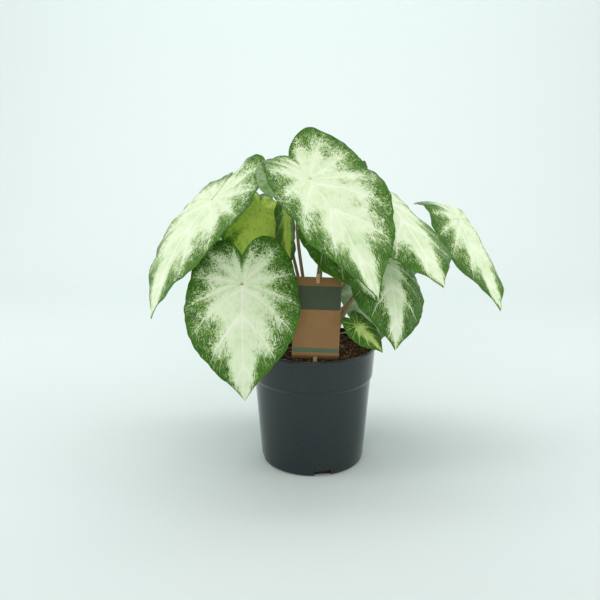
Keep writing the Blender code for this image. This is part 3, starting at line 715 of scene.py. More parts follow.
def blade_finish(leaf, seed, look):
    """Cream middle, mottled change and green margin, crossed by pale veins."""
    f = Finish("blade_" + leaf.name, Subsurface_Weight=0.15, Subsurface_Scale=0.002,
               Subsurface_Radius=(0.5, 1.0, 0.2), Specular_IOR_Level=0.22)
    along, across = f.uv("Blade")
    vein, out = f.uv("Veins")
    run, spacing = f.uv("Run")
    under = f.uv("Side")[0]
    here = f.join(along, across, seed * 37.0)
    wander = f.noise(here, 11.0, detail=2.0) - 0.5
    jitter = f.noise(here, 2.5, detail=2.0) - 0.5

    # Distance to the nearest side vein and to the midrib, in millimetres.
    turn = vein + wander * 0.16
    between = abs(f.math("FRACT", turn) - 0.5) * 2
    to_vein = between * spacing * 0.5
    to_midrib = abs(across + wander * 1.2) + f.ease(-along, -2.0, 3.0) * 30.0
    size = max(leaf.length / USUAL_LENGTH, 0.6)

    # Fine streaks that leave each side vein at a slant, as its veinlets do.
    reach = run * 0.62 + to_vein * 0.78 + jitter * 1.5
    slant = run * 0.78 - to_vein * 0.62 + wander * 7.0 + jitter * 1.2
    streak = f.noise(f.join(reach * 0.26, slant * 1.05, turn * 2.5 + seed * 9.0), 1.0,
                     detail=2.0)
    streak = (streak - 0.5) * 3.4 + 0.5
    thread = f.noise(f.join(reach * 0.4, slant * 2.2, turn * 4.0 - seed * 5.0), 1.0, detail=1.0)
    shaken = f.join(reach * 0.75 + jitter * 2.0, slant + jitter * 2.0, turn * 3.0 + seed * 2.0)
    coarse = f.cells(shaken, 1.9)[0]
    small = f.cells(shaken, 0.8)[1]
    draw = coarse * 0.20 + small * 0.46 + streak * 0.34

    # How far each spot is on its way from cream to green.
    broad = f.noise(here, 24.0, detail=2.0) - 0.5
    patchy = f.noise(here, 7.0, detail=3.0) - 0.5
    zone = out + broad * 0.5 + patchy * 0.35 + (between - 0.5) * 0.24 + leaf.green * 0.5
    zone = zone - (1 - f.ease(to_midrib, 1.0, 16.0)) * 0.30
    chance = f.ramp(zone, look.green_start, look.green_full)
    rim = f.ease(out + jitter * 0.05 + broad * 0.08, 0.93, 0.985)
    chance = f.math("MAXIMUM", chance, rim)
    green = f.ease(chance * 1.12 - draw, -0.12, 0.34)
    half = f.ease(chance * 1.8 + patchy * 0.4 - draw * 0.8, -0.1, 0.95) * 0.85

    # Pale tones: whiter on the veins, greener between them.
    tone = broad * 0.8 + patchy * 0.9 + small * 0.2 + streak * 0.3 + between * 0.3
    cream = f.mix(f.ease(tone, 0.15, 1.1) * 0.8, look.cream, look.shade)
    cream = f.mix(half, cream, look.mid_green)
    deep = f.mix(f.ease(thread * 0.6 + streak * 0.25 + broad * 0.4, 0.25, 0.7), look.dark_green,
                 look.green)
    if leaf.yellow:
        lime = f.mix(f.ease(chance * 0.8 + streak * 0.45 + patchy * 0.9, 0.1, 0.95), look.lime,
                     look.lime_shade)
        cream = f.mix(leaf.yellow, cream, lime)
    skin = f.mix(green, cream, deep)

    # The midrib, the side veins, and the veinlets that show across the mottled part.
    width = (1.05 - out * 0.6) * size
    line = 1 - f.ease(to_vein, width * 0.3, width)
    line = line * (1 - f.ease(out, 0.88, 0.985)) * 0.9
    rib = 1 - f.ease(to_midrib, 0.5 * size, 1.5 * size - along * 0.007)
    thready = f.ease(thread, 0.60, 0.72) * f.ease(out, 0.18, 0.5) * (1 - f.ease(out, 0.84, 0.96))
    marks = f.math("MAXIMUM", f.math("MAXIMUM", line, rib), thready * 0.55)
    pale = blended(look.vein, look.lime, leaf.yellow)
    skin = f.mix(marks * (0.85 - leaf.yellow * 0.15), skin, pale)
    centre = f.math("SQRT", along * along + across * across)
    spot = 1 - f.ease(centre, 1.0, 2.4)
    skin = f.mix(spot * 0.55, skin, look.navel)
    if leaf.suture:
        seam = (1 - f.ease(abs(across + wander), 0.3, 1.0)) * (1 - f.ease(along, -3.0, 0.0))
        skin = f.mix(seam * leaf.suture * 0.8, skin, look.suture)

    below = f.mix(f.math("MAXIMUM", green, half) * 0.8, look.under_cream, look.under_green)
    below = f.mix(f.math("MAXIMUM", line, rib) * 0.7, below, look.under_vein)
    skin = f.mix(under, skin, below)

    pores = f.noise(here, 0.8, detail=2.0)
    height = (pores * 0.06 + thread * 0.10 + streak * 0.05 - line * 0.10
              + f.noise(here, 5.0, detail=2.0) * 0.25)
    rough = look.roughness + jitter * 0.12 + under * 0.2 - green * 0.05
    return f.show(skin, rough, height, 0.7)


class LeafLook(bpy.types.PropertyGroup):
    """Sizes and colours of the blades and petioles."""

    thickness: FloatProperty(name="Blade thickness", description="Thickness at the midrib, in mm",
                             default=0.8, min=0.3, max=2.0)
    roughness: fraction("Blade roughness", "How dull the blades' skin is", 0.46)
    green_start: fraction("Green start", "Share of the way out where green cells start", 0.30)
    green_full: fraction("Green full", "Share of the way out where all cells are green", 1.10, 1.5)
    cream: colour("Cream", "Middle of the blades", tint(228, 243, 208))
    shade: colour("Pale green", "Greener tone of the middle", tint(186, 211, 150))
    mid_green: colour("Mid green", "Tone of the mottled part", tint(148, 184, 80))
    green: colour("Green", "Margin of the blades", tint(84, 130, 32))
    dark_green: colour("Dark green", "Darker tone of the margin", tint(46, 90, 20))
    lime: colour("Yellow-green", "Middle of the inner leaves", tint(214, 238, 106))
    lime_shade: colour("Deep yellow-green", "Darker tone of it", tint(132, 176, 48))
    vein: colour("Vein", "Veins on the upper face", tint(242, 250, 224))
    navel: colour("Navel", "Spot over the petiole", tint(186, 170, 110))
    suture: colour("Seam", "Reddish seam behind a petiole", tint(172, 104, 84))
    under_cream: colour("Underside", "Middle of the underside", tint(186, 204, 166))
    under_green: colour("Underside green", "Margin of the underside", tint(104, 134, 88))
    under_vein: colour("Underside vein", "Veins on the underside", tint(196, 206, 160))
    brown: colour("Brown petiole", "Reddish brown petioles", tint(128, 88, 62))
    olive: colour("Olive petiole", "Olive green petioles", tint(138, 142, 70))
    base: colour("Petiole base", "Paler foot of the petioles", tint(190, 160, 124))


def tuber_top(distance):
    """Height of the tuber's surface at a distance from its axis."""
    share = min(distance / TUBER_RADIUS, 0.95)
    return TUBER_CENTRE_HEIGHT + TUBER_HALF_HEIGHT * math.sqrt(1.0 - share ** 2)


def petiole_path(leaf):
    """Points from a petiole's root up to the underside of its blade, and the blade's direction."""
    heading, distance = leaf.root
    out = np.array([math.cos(math.radians(heading)), math.sin(math.radians(heading)), 0.0])
    root = out * distance + np.array([0.0, 0.0, tuber_top(distance) + TUBER_TO_STEM])
    face = leaf_axes(leaf)[2]
    top = np.array(leaf.attach) - face * PETIOLE_INSET
    lean = (top - root) * np.array([0.25, 0.25, 1.0])
    lean = lean / np.linalg.norm(lean)
    soil = root + lean * (SOIL_TOP + 6.0 - root[2]) / lean[2]
    span = np.linalg.norm(top - soil)
    handles = [soil, soil + lean * span * PETIOLE_RISE, top - face * span * leaf.arch, top]
    t = np.linspace(0.0, 1.0, PETIOLE_RINGS)[:, None]
    curve = ((1 - t) ** 3 * handles[0] + 3 * (1 - t) ** 2 * t * handles[1]
             + 3 * (1 - t) * t ** 2 * handles[2] + t ** 3 * handles[3])
    low = root + (soil - root) * np.linspace(0.0, 1.0, BURIED_RINGS, endpoint=False)[:, None]
    return np.vstack([low, curve]), face


def petiole_mesh(leaf):
    """A petiole, sheathed at its foot, ribbed and a little swollen under the blade; its length."""
    path, face = petiole_path(leaf)
    steps = np.concatenate([[0.0], np.cumsum(np.linalg.norm(np.diff(path, axis=0), axis=1))])
    points, faces, maps = [], [], []
    beside = np.array([1.0, 0.0, 0.0])
    last = len(path) - 1
    for i, point in enumerate(path):
        ahead = face if i == last else path[i + 1] - path[max(i - 1, 0)]
        ahead = ahead / np.linalg.norm(ahead)
        beside = beside - ahead * np.dot(beside, ahead)
        beside = beside / np.linalg.norm(beside)
        side = np.cross(ahead, beside)
        share = steps[i] / steps[-1]
        radius = leaf.stem * (1 - (1 - PETIOLE_TAPER) * share)
        radius *= 1 + 0.25 * math.exp(-((steps[-1] - steps[i]) / 3.5) ** 2)
        sheath = math.exp(-(max(steps[i] - 32.0, 0.0) / 14.0) ** 2)
        for k in range(PETIOLE_SIDES):
            a = 2 * math.pi * k / PETIOLE_SIDES
            rib = 1 + 0.03 * math.cos(5 * a) + 0.10 * sheath * math.cos(a - 0.02 * steps[i])
            points.append(point + radius * rib * (math.cos(a) * beside + math.sin(a) * side))
    for i in range(last):
        for k in range(PETIOLE_SIDES):
            j = (k + 1) % PETIOLE_SIDES
            faces.append((i * PETIOLE_SIDES + k, i * PETIOLE_SIDES + j,
                          (i + 1) * PETIOLE_SIDES + j, (i + 1) * PETIOLE_SIDES + k))
            around = (k / PETIOLE_SIDES, (k + 1) / PETIOLE_SIDES)
            low, high = steps[i], steps[i + 1]
            maps += [(around[0], low), (around[1], low), (around[1], high), (around[0], high)]
    faces.append(tuple(range(PETIOLE_SIDES))[::-1])
    faces.append(tuple(last * PETIOLE_SIDES + k for k in range(PETIOLE_SIDES)))
    maps += [(0.0, 0.0)] * PETIOLE_SIDES + [(0.0, steps[-1])] * PETIOLE_SIDES
    mesh = mesh_from_points(leaf.name + "_stalk", points, faces)
    maps = np.array(maps)
    add_uv(mesh, "OFBake", np.stack([maps[:, 0], maps[:, 1] / (steps[-1] + 1.0)], -1))
    add_uv(mesh, "Stalk", maps)
    return mesh, steps[-1]


def petiole_finish(leaf, seed, look, length):
    """Skin with fine lengthwise streaks, paler at the foot and greener under the blade."""
    f = Finish("petiole_" + leaf.name, Specular_IOR_Level=0.45, Subsurface_Weight=0.05,
               Subsurface_Scale=0.002)
    around, along = f.uv("Stalk")
    place = f.place()
    streak = f.noise(f.join(around * 40.0, along * 0.06, seed * 3.0), 1.0, detail=3.0)
    fleck = f.noise(place, 2.2, detail=4.0, rough=0.6)
    body = blended(look.brown, look.olive, leaf.stalk)
    skin = f.mix(f.ease(streak, 0.35, 0.7) * 0.5, body, look.base)
    skin = f.mix(f.ease(fleck, 0.52, 0.66) * 0.45, skin, tint(84, 56, 42))
    skin = f.mix((1 - f.ease(along, 8.0, 60.0)) * 0.6, skin, look.base)
    skin = f.mix(f.ease(along, length * 0.75, length) * 0.6, skin, look.olive)
    return f.show(skin, 0.42 + (fleck - 0.5) * 0.3, streak * 0.25 + fleck * 0.15, 0.6)


def fold_mesh(leaf, side, first, last, width):
    """Part of a blade's margin rolled under, as a thin closed sheet."""
    row_inside = -6
    along, across = vein_grid(leaf, side)[:2]
    place, up = blade_points(leaf, along, across)
    edge, up = place[first:last, -1], up[first:last, -1]
    outward = edge - place[first:last, row_inside]
    outward /= np.linalg.norm(outward, axis=1)[:, None]
    reach = np.linspace(0.0, 1.0, last - first)[:, None]
    roll = width * np.sin(math.pi * reach) ** 0.6 / FOLD_TURN + FOLD_LEAST
    middle = edge - roll * up - FOLD_INSET * outward
    sheets = []
    for radius in (roll, np.maximum(roll - FOLD_THICKNESS, 0.4 * roll)):
        for k in range(FOLD_STEPS):
            a = FOLD_TURN * k / (FOLD_STEPS - 1)
            sheets.append(middle + radius * (math.sin(a) * outward + math.cos(a) * up))
    rows = last - first
    faces = []
    for i in range(rows - 1):
        for k in range(FOLD_STEPS - 1):
            outer = [(k, i), (k + 1, i), (k + 1, i + 1), (k, i + 1)]
            faces.append(tuple(a * rows + b for a, b in outer))
            faces.append(tuple((a + FOLD_STEPS) * rows + b for a, b in reversed(outer)))
    rim = ([(0, i) for i in range(rows)] + [(k, rows - 1) for k in range(1, FOLD_STEPS)]
           + [(FOLD_STEPS - 1, i) for i in range(rows - 2, -1, -1)]
           + [(k, 0) for k in range(FOLD_STEPS - 2, 0, -1)])
    for (a, b), (c, d) in zip(rim, rim[1:] + rim[:1]):
        faces.append((a * rows + b, c * rows + d, (c + FOLD_STEPS) * rows + d,
                      (a + FOLD_STEPS) * rows + b))
    return mesh_from_points(leaf.name + "_fold", np.concatenate(sheets), faces)


def fold_finish(look):
    """The grey-green underside, which shows where a margin is rolled."""
    f = Finish("leaf_fold", Specular_IOR_Level=0.3)
    place = f.place()
    patch = f.noise(place, 5.0, detail=3.0)
    fine = f.noise(place, 0.9, detail=3.0)
    skin = f.mix(f.ease(patch * 0.7 + fine * 0.4, 0.35, 0.9), look.green, look.under_cream)
    skin = f.mix(0.35, skin, look.under_green)
    return f.show(skin, 0.5 + patch * 0.15, fine * 0.15, 0.7)


class CALADIUM_OT_leaves(bpy.types.Operator):
    """Make the leaf blades and their petioles"""

    bl_idname = "caladium.leaves"
    bl_label = "Leaves"

    def execute(self, context):
        look = context.scene.caladium_leaf
        for seed, leaf in enumerate(LEAVES, 1):
            blade = blade_mesh(leaf, seed, look.thickness)
            new_piece(leaf.name + "_leaf", blade, blade_finish(leaf, seed, look),
                      [leaf.name + "_blade"])
            stalk, length = petiole_mesh(leaf)
            new_piece(leaf.name + "_stalk", stalk, petiole_finish(leaf, seed, look, length),
                      [leaf.name + "_petiole"])
        for leaf in LEAVES:
            if leaf.fold_under:
                new_piece(leaf.name + "_fold", fold_mesh(leaf, *leaf.fold_under),
                          fold_finish(look))
        return {"FINISHED"}


class PotLook(bpy.types.PropertyGroup):
    """Colour and skin of the pot."""

    plastic: colour("Plastic", "Colour of the pot", tint(24, 34, 37))
    roughness: fraction("Pot roughness", "How dull the plastic is", 0.15)


def wall_radius(height):
    """Radius of the pot's lower wall at a height."""
    share = (height - FOOT_STEP_HEIGHT) / (WALL_TOP_HEIGHT - FOOT_STEP_HEIGHT)
    return WALL_FOOT_RADIUS + (WALL_TOP_RADIUS - WALL_FOOT_RADIUS) * share


def rounded(profile, radius):
    """The profile with its corners rounded off by up to a radius."""
    made = [profile[0]]
    for before, corner, after in zip(profile, profile[1:], profile[2:]):
        a, c, b = (np.array(p) for p in (before, corner, after))
        to_a, to_b = a - c, b - c
        reach_a = min(radius, np.linalg.norm(to_a) * 0.45)
        reach_b = min(radius, np.linalg.norm(to_b) * 0.45)
        start = c + to_a / np.linalg.norm(to_a) * reach_a
        end = c + to_b / np.linalg.norm(to_b) * reach_b
        for t in (0.0, 0.33, 0.67, 1.0):
            made.append(tuple((1 - t) ** 2 * start + 2 * t * (1 - t) * c + t ** 2 * end))
    made.append(profile[-1])
    return made


def pot_profile():
    """Outside and inside of the pot, from the underside's centre round the rim to the floor."""
    foot = []
    for i in range(7):
        a = math.radians(-90 + 15 * i)
        foot.append((FOOT_RADIUS - FOOT_ROUNDING + FOOT_ROUNDING * math.cos(a),
                     FOOT_ROUNDING + FOOT_ROUNDING * math.sin(a)))
    inside = FOOT_RADIUS - FOOT_ROUNDING - FOOT_RING
    lip_foot = POT_HEIGHT - LIP_HEIGHT
    floor = FLOOR_RECESS + FLOOR_THICKNESS
    outer = [
        (0.0, 0.0), (CENTRE_PAD_RADIUS, 0.0), (CENTRE_PAD_RADIUS + FLOOR_RECESS, FLOOR_RECESS),
        (inside - FLOOR_RECESS, FLOOR_RECESS), (inside, 0.0), *foot,
        (FOOT_RADIUS + 0.1, FOOT_STEP_HEIGHT - 0.5), (WALL_FOOT_RADIUS, FOOT_STEP_HEIGHT),
        (wall_radius(30.0), 30.0), (wall_radius(60.0), 60.0), (WALL_TOP_RADIUS, WALL_TOP_HEIGHT),
        (BAND_FOOT_RADIUS - 0.7, BAND_FOOT_HEIGHT - 2.5), (BAND_FOOT_RADIUS, BAND_FOOT_HEIGHT),
        (BAND_TOP_RADIUS, lip_foot), (RIM_RADIUS - 0.1, lip_foot + 0.4),
        (RIM_RADIUS, POT_HEIGHT - 2.0), (RIM_RADIUS - 0.4, POT_HEIGHT - 1.7),
        (RIM_RADIUS - 0.4, POT_HEIGHT - 1.4), (RIM_RADIUS, POT_HEIGHT - 1.1),
        (RIM_RADIUS, POT_HEIGHT - 0.5), (RIM_RADIUS - 0.5, POT_HEIGHT),
    ]
    inner = [
        (BAND_TOP_RADIUS - WALL_THICKNESS + 0.6, POT_HEIGHT),
        (BAND_TOP_RADIUS - WALL_THICKNESS + 0.2, POT_HEIGHT - 0.4),
        (BAND_TOP_RADIUS - WALL_THICKNESS, lip_foot),
        (BAND_FOOT_RADIUS - WALL_THICKNESS, BAND_FOOT_HEIGHT),
        (WALL_TOP_RADIUS - WALL_THICKNESS, WALL_TOP_HEIGHT),
        (FOOT_RADIUS - WALL_THICKNESS, floor + FLOOR_CORNER),
        (FOOT_RADIUS - WALL_THICKNESS - FLOOR_CORNER, floor), (0.0, floor),
    ]
    return rounded(outer + inner, CORNER_ROUNDING)


def turned(bm, profile, sides):
    """A body turned about Z from a profile that starts and ends on the axis."""
    rings = []
    for radius, height in profile:
        if radius < 1e-6:
            rings.append([bm.verts.new((0.0, 0.0, height))])
            continue
        ring = []
        for i in range(sides):
            a = 2 * math.pi * i / sides
            ring.append(bm.verts.new((radius * math.cos(a), radius * math.sin(a), height)))
        rings.append(ring)
    for lower, upper in zip(rings, rings[1:]):
        for i in range(sides):
            j = (i + 1) % sides
            face = [lower[i % len(lower)], lower[j % len(lower)],
                    upper[j % len(upper)], upper[i % len(upper)]]
            bm.faces.new(dict.fromkeys(face))


def cut_out(target, cutter):
    """The mesh of a body with another cut out of it."""
    body, tool = placed(target.name, target), placed(cutter.name, cutter)
    boolean = body.modifiers.new("cut", "BOOLEAN")
    boolean.operation = "DIFFERENCE"
    boolean.solver = "EXACT"
    boolean.object = tool
    depsgraph = bpy.context.evaluated_depsgraph_get()
    cut = bpy.data.meshes.new_from_object(body.evaluated_get(depsgraph))
    for used in (body, tool):
        bpy.data.objects.remove(used, do_unlink=True)
    return cut


def drain_blocks():
    """Blocks and round bars where the pot's drain notches and drain holes are."""
    bm = bmesh.new()
    height = DRAIN_NOTCH_TOP - DRAIN_NOTCH_FROM
    place = Matrix.Translation((FOOT_RADIUS, 0.0, DRAIN_NOTCH_FROM + height / 2))
    size = Matrix.Diagonal((DRAIN_NOTCH_DEPTH, DRAIN_NOTCH_WIDTH, height, 1.0))
    for i in range(DRAIN_NOTCHES):
        turn = Matrix.Rotation(math.radians(DRAIN_NOTCH_HEADING + 360 * i / DRAIN_NOTCHES), 4, "Z")
        bmesh.ops.create_cube(bm, size=1.0, matrix=turn @ place @ size)
    place = Matrix.Translation((DRAIN_HOLE_RING, 0.0, FLOOR_RECESS))
    for i in range(DRAIN_HOLES):
        turn = Matrix.Rotation(2 * math.pi * (i + 0.5) / DRAIN_HOLES, 4, "Z")
        bmesh.ops.create_cone(bm, cap_ends=True, segments=32, radius1=DRAIN_HOLE_RADIUS,
                              radius2=DRAIN_HOLE_RADIUS, depth=DRAIN_HOLE_DEPTH,
                              matrix=turn @ place)
    return bm


def pot_mesh():
    """The pot with its drains, and with small raised beads over the front notch."""
    bm = bmesh.new()
    turned(bm, pot_profile(), POT_SIDES)
    mesh = cut_out(mesh_from_bmesh("pot_body", bm, smooth=False),
                   mesh_from_bmesh("pot_drains", drain_blocks(), smooth=False))
    bm = bmesh.new()
    bm.from_mesh(mesh)
    for beside, height, width in BEADS:
        turn = Matrix.Rotation(math.radians(DRAIN_NOTCH_HEADING + beside), 4, "Z")
        place = Matrix.Translation(Vector((wall_radius(height), 0.0, height)) * MM)
        size = Matrix.Diagonal((BEAD_DEPTH * MM, width * MM, width * BEAD_HEIGHT * MM, 1.0))
        bmesh.ops.create_icosphere(bm, subdivisions=3, radius=1.0, matrix=turn @ place @ size)
    bm.to_mesh(mesh)
    bm.free()
    mesh.shade_smooth()
    mesh.set_sharp_from_angle(angle=math.radians(POT_SHARP_FROM))
    return mesh


def pot_finish(look):
    """Dark moulded plastic, faintly pitted, with dust that dulls it, most of all near the foot."""
    f = Finish("pot_plastic", Specular_IOR_Level=0.5)
    place = f.place()
    height = f.split(place)[2]
    cloud = f.noise(place, 30.0, detail=4.0)
    grain = f.noise(place, 0.8)
    dust = f.ease(f.noise(place, 1.6, detail=5.0, rough=0.7), 0.62, 0.80)
    low = 1 - f.ease(height, 0.0, 26.0)
    skin = f.mix(f.ease(cloud, 0.3, 0.75) * 0.2, look.plastic,
                 tuple(c * 1.2 for c in look.plastic))
    skin = f.mix(dust * (0.04 + low * 0.12), skin, tint(118, 116, 104))
    rough = look.roughness + (cloud - 0.5) * 0.05 + dust * 0.08
    return f.show(skin, rough, grain * 0.015, 0.5)


class CALADIUM_OT_pot(bpy.types.Operator):
    """Make the nursery pot"""

    bl_idname = "caladium.pot"
    bl_label = "Pot"

    def execute(self, context):
        new_piece("pot_shell", pot_mesh(), pot_finish(context.scene.caladium_pot), ["pot"])
        return {"FINISHED"}


class SoilLook(bpy.types.PropertyGroup):
    """Colours and litter of the potting mix."""

    dark: colour("Damp mix", "Darkest tone of the potting mix", tint(44, 30, 22))
    light: colour("Dry mix", "Lightest tone of the potting mix", tint(96, 70, 50))
    fibre: colour("Fibre", "Coconut fibres and bark", tint(164, 128, 86))
    crumbs: IntProperty(name="Crumbs", description="Loose crumbs on the soil", default=900,
                        min=0, max=4000)
    fibres: IntProperty(name="Fibres", description="Fibres on the soil", default=170,
                        min=0, max=1000)


def soil_height(x, y):
    """Height of the soil's lumpy surface, with its crumbly detail."""
    lumps = (math.sin(0.31 * x + 1.1) * math.cos(0.27 * y) + 0.6 * math.sin(0.53 * y - 0.22 * x)
             + 0.4 * math.cos(0.71 * x + 0.45 * y))
    crumbly = noise.fractal(Vector((x, y, 3.0)) * 0.28, 0.9, 2.1, 4)
    return SOIL_TOP + SOIL_LUMP * lumps / 2 + 1.1 * crumbly


def soil_mesh():
    """Potting mix that fills the pot up to a lumpy surface."""
    floor = FLOOR_RECESS + FLOOR_THICKNESS + SOIL_GAP
    inside = FOOT_RADIUS - WALL_THICKNESS - SOIL_GAP
    edge = BAND_TOP_RADIUS - WALL_THICKNESS - SOIL_EDGE_GAP
    profile = [
        (0.0, floor), (inside - FLOOR_CORNER, floor), (inside, floor + FLOOR_CORNER),
        (WALL_TOP_RADIUS - WALL_THICKNESS - SOIL_GAP, WALL_TOP_HEIGHT),
        (BAND_FOOT_RADIUS - WALL_THICKNESS - SOIL_GAP, BAND_FOOT_HEIGHT),
    ]
    profile += [(edge * (1 - i / SOIL_RINGS), SOIL_TOP) for i in range(SOIL_RINGS + 1)]
    bm = bmesh.new()
    turned(bm, profile, SOIL_SIDES)
    for vertex in bm.verts:
        if vertex.co.z > SOIL_TOP - 0.01:
            vertex.co.z = soil_height(vertex.co.x, vertex.co.y)
    return mesh_from_bmesh("soil_bed", bm)


def scattered(chance, field):
    """A random place within a radius, and its heading from the middle."""
    reach = field * math.sqrt(chance.random())
    turn = chance.uniform(0, 2 * math.pi)
    return reach * math.cos(turn), reach * math.sin(turn), turn


def crumb_mesh(count):
    """Crumbs of peat and bark that lie half sunk in the soil's surface."""
    chance = random.Random(11)
    bm = bmesh.new()
    for _ in range(count):
        x, y, _ = scattered(chance, CRUMB_FIELD)
        size = 0.5 + 1.6 * chance.random() ** 2.5
        spin = Matrix.Rotation(chance.uniform(0, 6.3), 4, (chance.random(), chance.random(), 1.0))
        shape = Matrix.Diagonal((size * chance.uniform(0.8, 1.6), size, size * 0.7, 1.0))
        place = Matrix.Translation((x, y, soil_height(x, y) + size * 0.15))
        made = bmesh.ops.create_icosphere(bm, subdivisions=1, radius=1.0,
                                          matrix=place @ spin @ shape)
        for vertex in made["verts"]:
            vertex.co += Vector((chance.uniform(-1, 1) for _ in range(3))) * size * 0.22
    return mesh_from_bmesh("soil_crumbs", bm, smooth=False)


def fibre_mesh(count):
    """Short bent fibres scattered on the soil."""
    chance = random.Random(23)
    points, faces = [], []
    for _ in range(count):
        x, y, turn = scattered(chance, FIBRE_FIELD)
        heading = chance.uniform(0, 2 * math.pi)
        bend = chance.uniform(-0.5, 0.5)
        step = chance.uniform(0.8, 2.0)
        width = chance.uniform(0.12, 0.32)
        first = len(points)
        for i in range(FIBRE_RINGS):
            if math.hypot(x, y) > FIBRE_LIMIT:
                break
            lift = soil_height(x, y) + 0.35 + 0.5 * math.sin(i * 0.9 + turn)
            side = Vector((-math.sin(heading), math.cos(heading), 0.0)) * width
            middle = Vector((x, y, lift))
            points += [middle + side, middle - side, Vector((x, y, lift + width * 1.6))]
            x += step * math.cos(heading)
            y += step * math.sin(heading)
            heading += bend
        rings = (len(points) - first) // 3
        for i in range(rings - 1):
            for j in range(3):
                a, b = first + 3 * i + j, first + 3 * i + (j + 1) % 3
                faces.append((a, a + 3, b + 3, b))
        if rings > 1:
            faces.append((first, first + 1, first + 2))
            end = first + 3 * (rings - 1)
            faces.append((end + 2, end + 1, end))
    return mesh_from_points("soil_fibres", points, faces)


def soil_finish(name, look, fibre_share):
    """Damp peat with lighter grains, or fibre where the share is high."""
    f = Finish(name, Specular_IOR_Level=0.25)
    place = f.place()
    grain = f.noise(place, 1.7, detail=6.0, rough=0.65)
    patch = f.noise(place, 14.0, detail=3.0)
    chip = f.cells(place, 1.9)[0]
    skin = f.mix(f.ease(grain, 0.35, 0.7), look.dark, look.light)
    skin = f.mix(f.ease(patch, 0.35, 0.65) * 0.5, skin, look.dark)
    chip = f.ease(chip, 0.86 - fibre_share * 0.8, 0.97 - fibre_share * 0.6)
    skin = f.mix(chip, skin, look.fibre)
    return f.show(skin, 0.93 - f.ease(patch, 0.4, 0.8) * 0.18, grain * 0.8, 0.9)


class CALADIUM_OT_soil(bpy.types.Operator):
    """Make the potting mix with its crumbs and fibres, and finish the tuber in it"""

    bl_idname = "caladium.soil"
    bl_label = "Soil"

    def execute(self, context):
        look = context.scene.caladium_soil
        new_piece("soil_bed", soil_mesh(), soil_finish("potting_mix", look, 0.0), ["soil"])
        new_piece("soil_crumbs", crumb_mesh(look.crumbs), soil_finish("crumbs", look, 0.1))
        new_piece("soil_fibres", fibre_mesh(look.fibres), soil_finish("fibres", look, 0.9))
        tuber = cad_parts["tuber"]
        skin = tuber_finish()
        if tuber.data.materials:
            for place in tuber.material_slots:
                place.material = skin
        else:
            tuber.data.materials.append(skin)
        return {"FINISHED"}


def tuber_finish():
    """Rough brown skin with rings and eyes."""
    f = Finish("tuber_skin", Specular_IOR_Level=0.3)
    place = f.place()
    z = f.split(place)[2]
    rings = abs(f.math("FRACT", z / 3.2 + f.noise(place, 12.0)) - 0.5) * 2
    flake = f.noise(place, 3.0, detail=6.0, rough=0.65)
    skin = f.mix(f.ease(flake, 0.3, 0.7), tint(74, 54, 38), tint(132, 102, 72))
    skin = f.mix((1 - f.ease(rings, 0.0, 0.3)) * 0.5, skin, tint(52, 38, 28))
    return f.show(skin, 0.8 + flake * 0.15, flake * 0.8 + rings * 0.4, 0.8)


class CardLook(bpy.types.PropertyGroup):
    """Colours of the plant card and its stick."""

    kraft: colour("Kraft", "Brown card", tint(152, 116, 74))
    print_green: colour("Print", "Green printed bands", tint(56, 76, 58))
    thin_green: colour("Thin print", "Thin green band near the foot", tint(84, 110, 86))
    wood: colour("Wood", "Stick", tint(196, 168, 124))


def card_matrix():
    """Place and lean of the card, whose panel stands on its own origin and faces -Y."""
    return (Matrix.Translation(CARD_PLACE)
            @ Matrix.Rotation(math.radians(CARD_ROLL), 4, "Y")
            @ Matrix.Rotation(math.radians(-CARD_TILT), 4, "X"))


def card_line():
    """The card seen from its side: for each of its rows the distance up the flat card, the
    lean there, and the place behind and above the panel's foot."""
    top = math.radians(CARD_TOP_LEAN)
    foot = math.radians(CARD_FOOT_LEAN)
    marks = (-CARD_FOOT_FLAP, -CARD_CREASE, CARD_CREASE, CARD_PANEL_HEIGHT - CARD_CREASE,
             CARD_PANEL_HEIGHT + CARD_CREASE, CARD_PANEL_HEIGHT + CARD_TOP_FLAP)
    steps = (1, CREASE_STEPS, PANEL_STEPS, CREASE_STEPS, 1)
    up = np.concatenate([np.linspace(low, high, count, endpoint=False)
                         for low, high, count in zip(marks, marks[1:], steps)] + [marks[-1:]])
    lean = np.interp(up, marks, (foot, foot, 0.0, 0.0, -top, -top))
    middle = 0.5 * (lean[1:] + lean[:-1])
    back = np.append(0.0, np.cumsum(-np.sin(middle) * np.diff(up)))
    height = np.append(0.0, np.cumsum(np.cos(middle) * np.diff(up)))
    # The height agrees with the flat card's at the first row above the panel's foot.
    start = np.argmax(up > 0.1)
    return up, lean, back - back[start], height - height[start] + up[start]


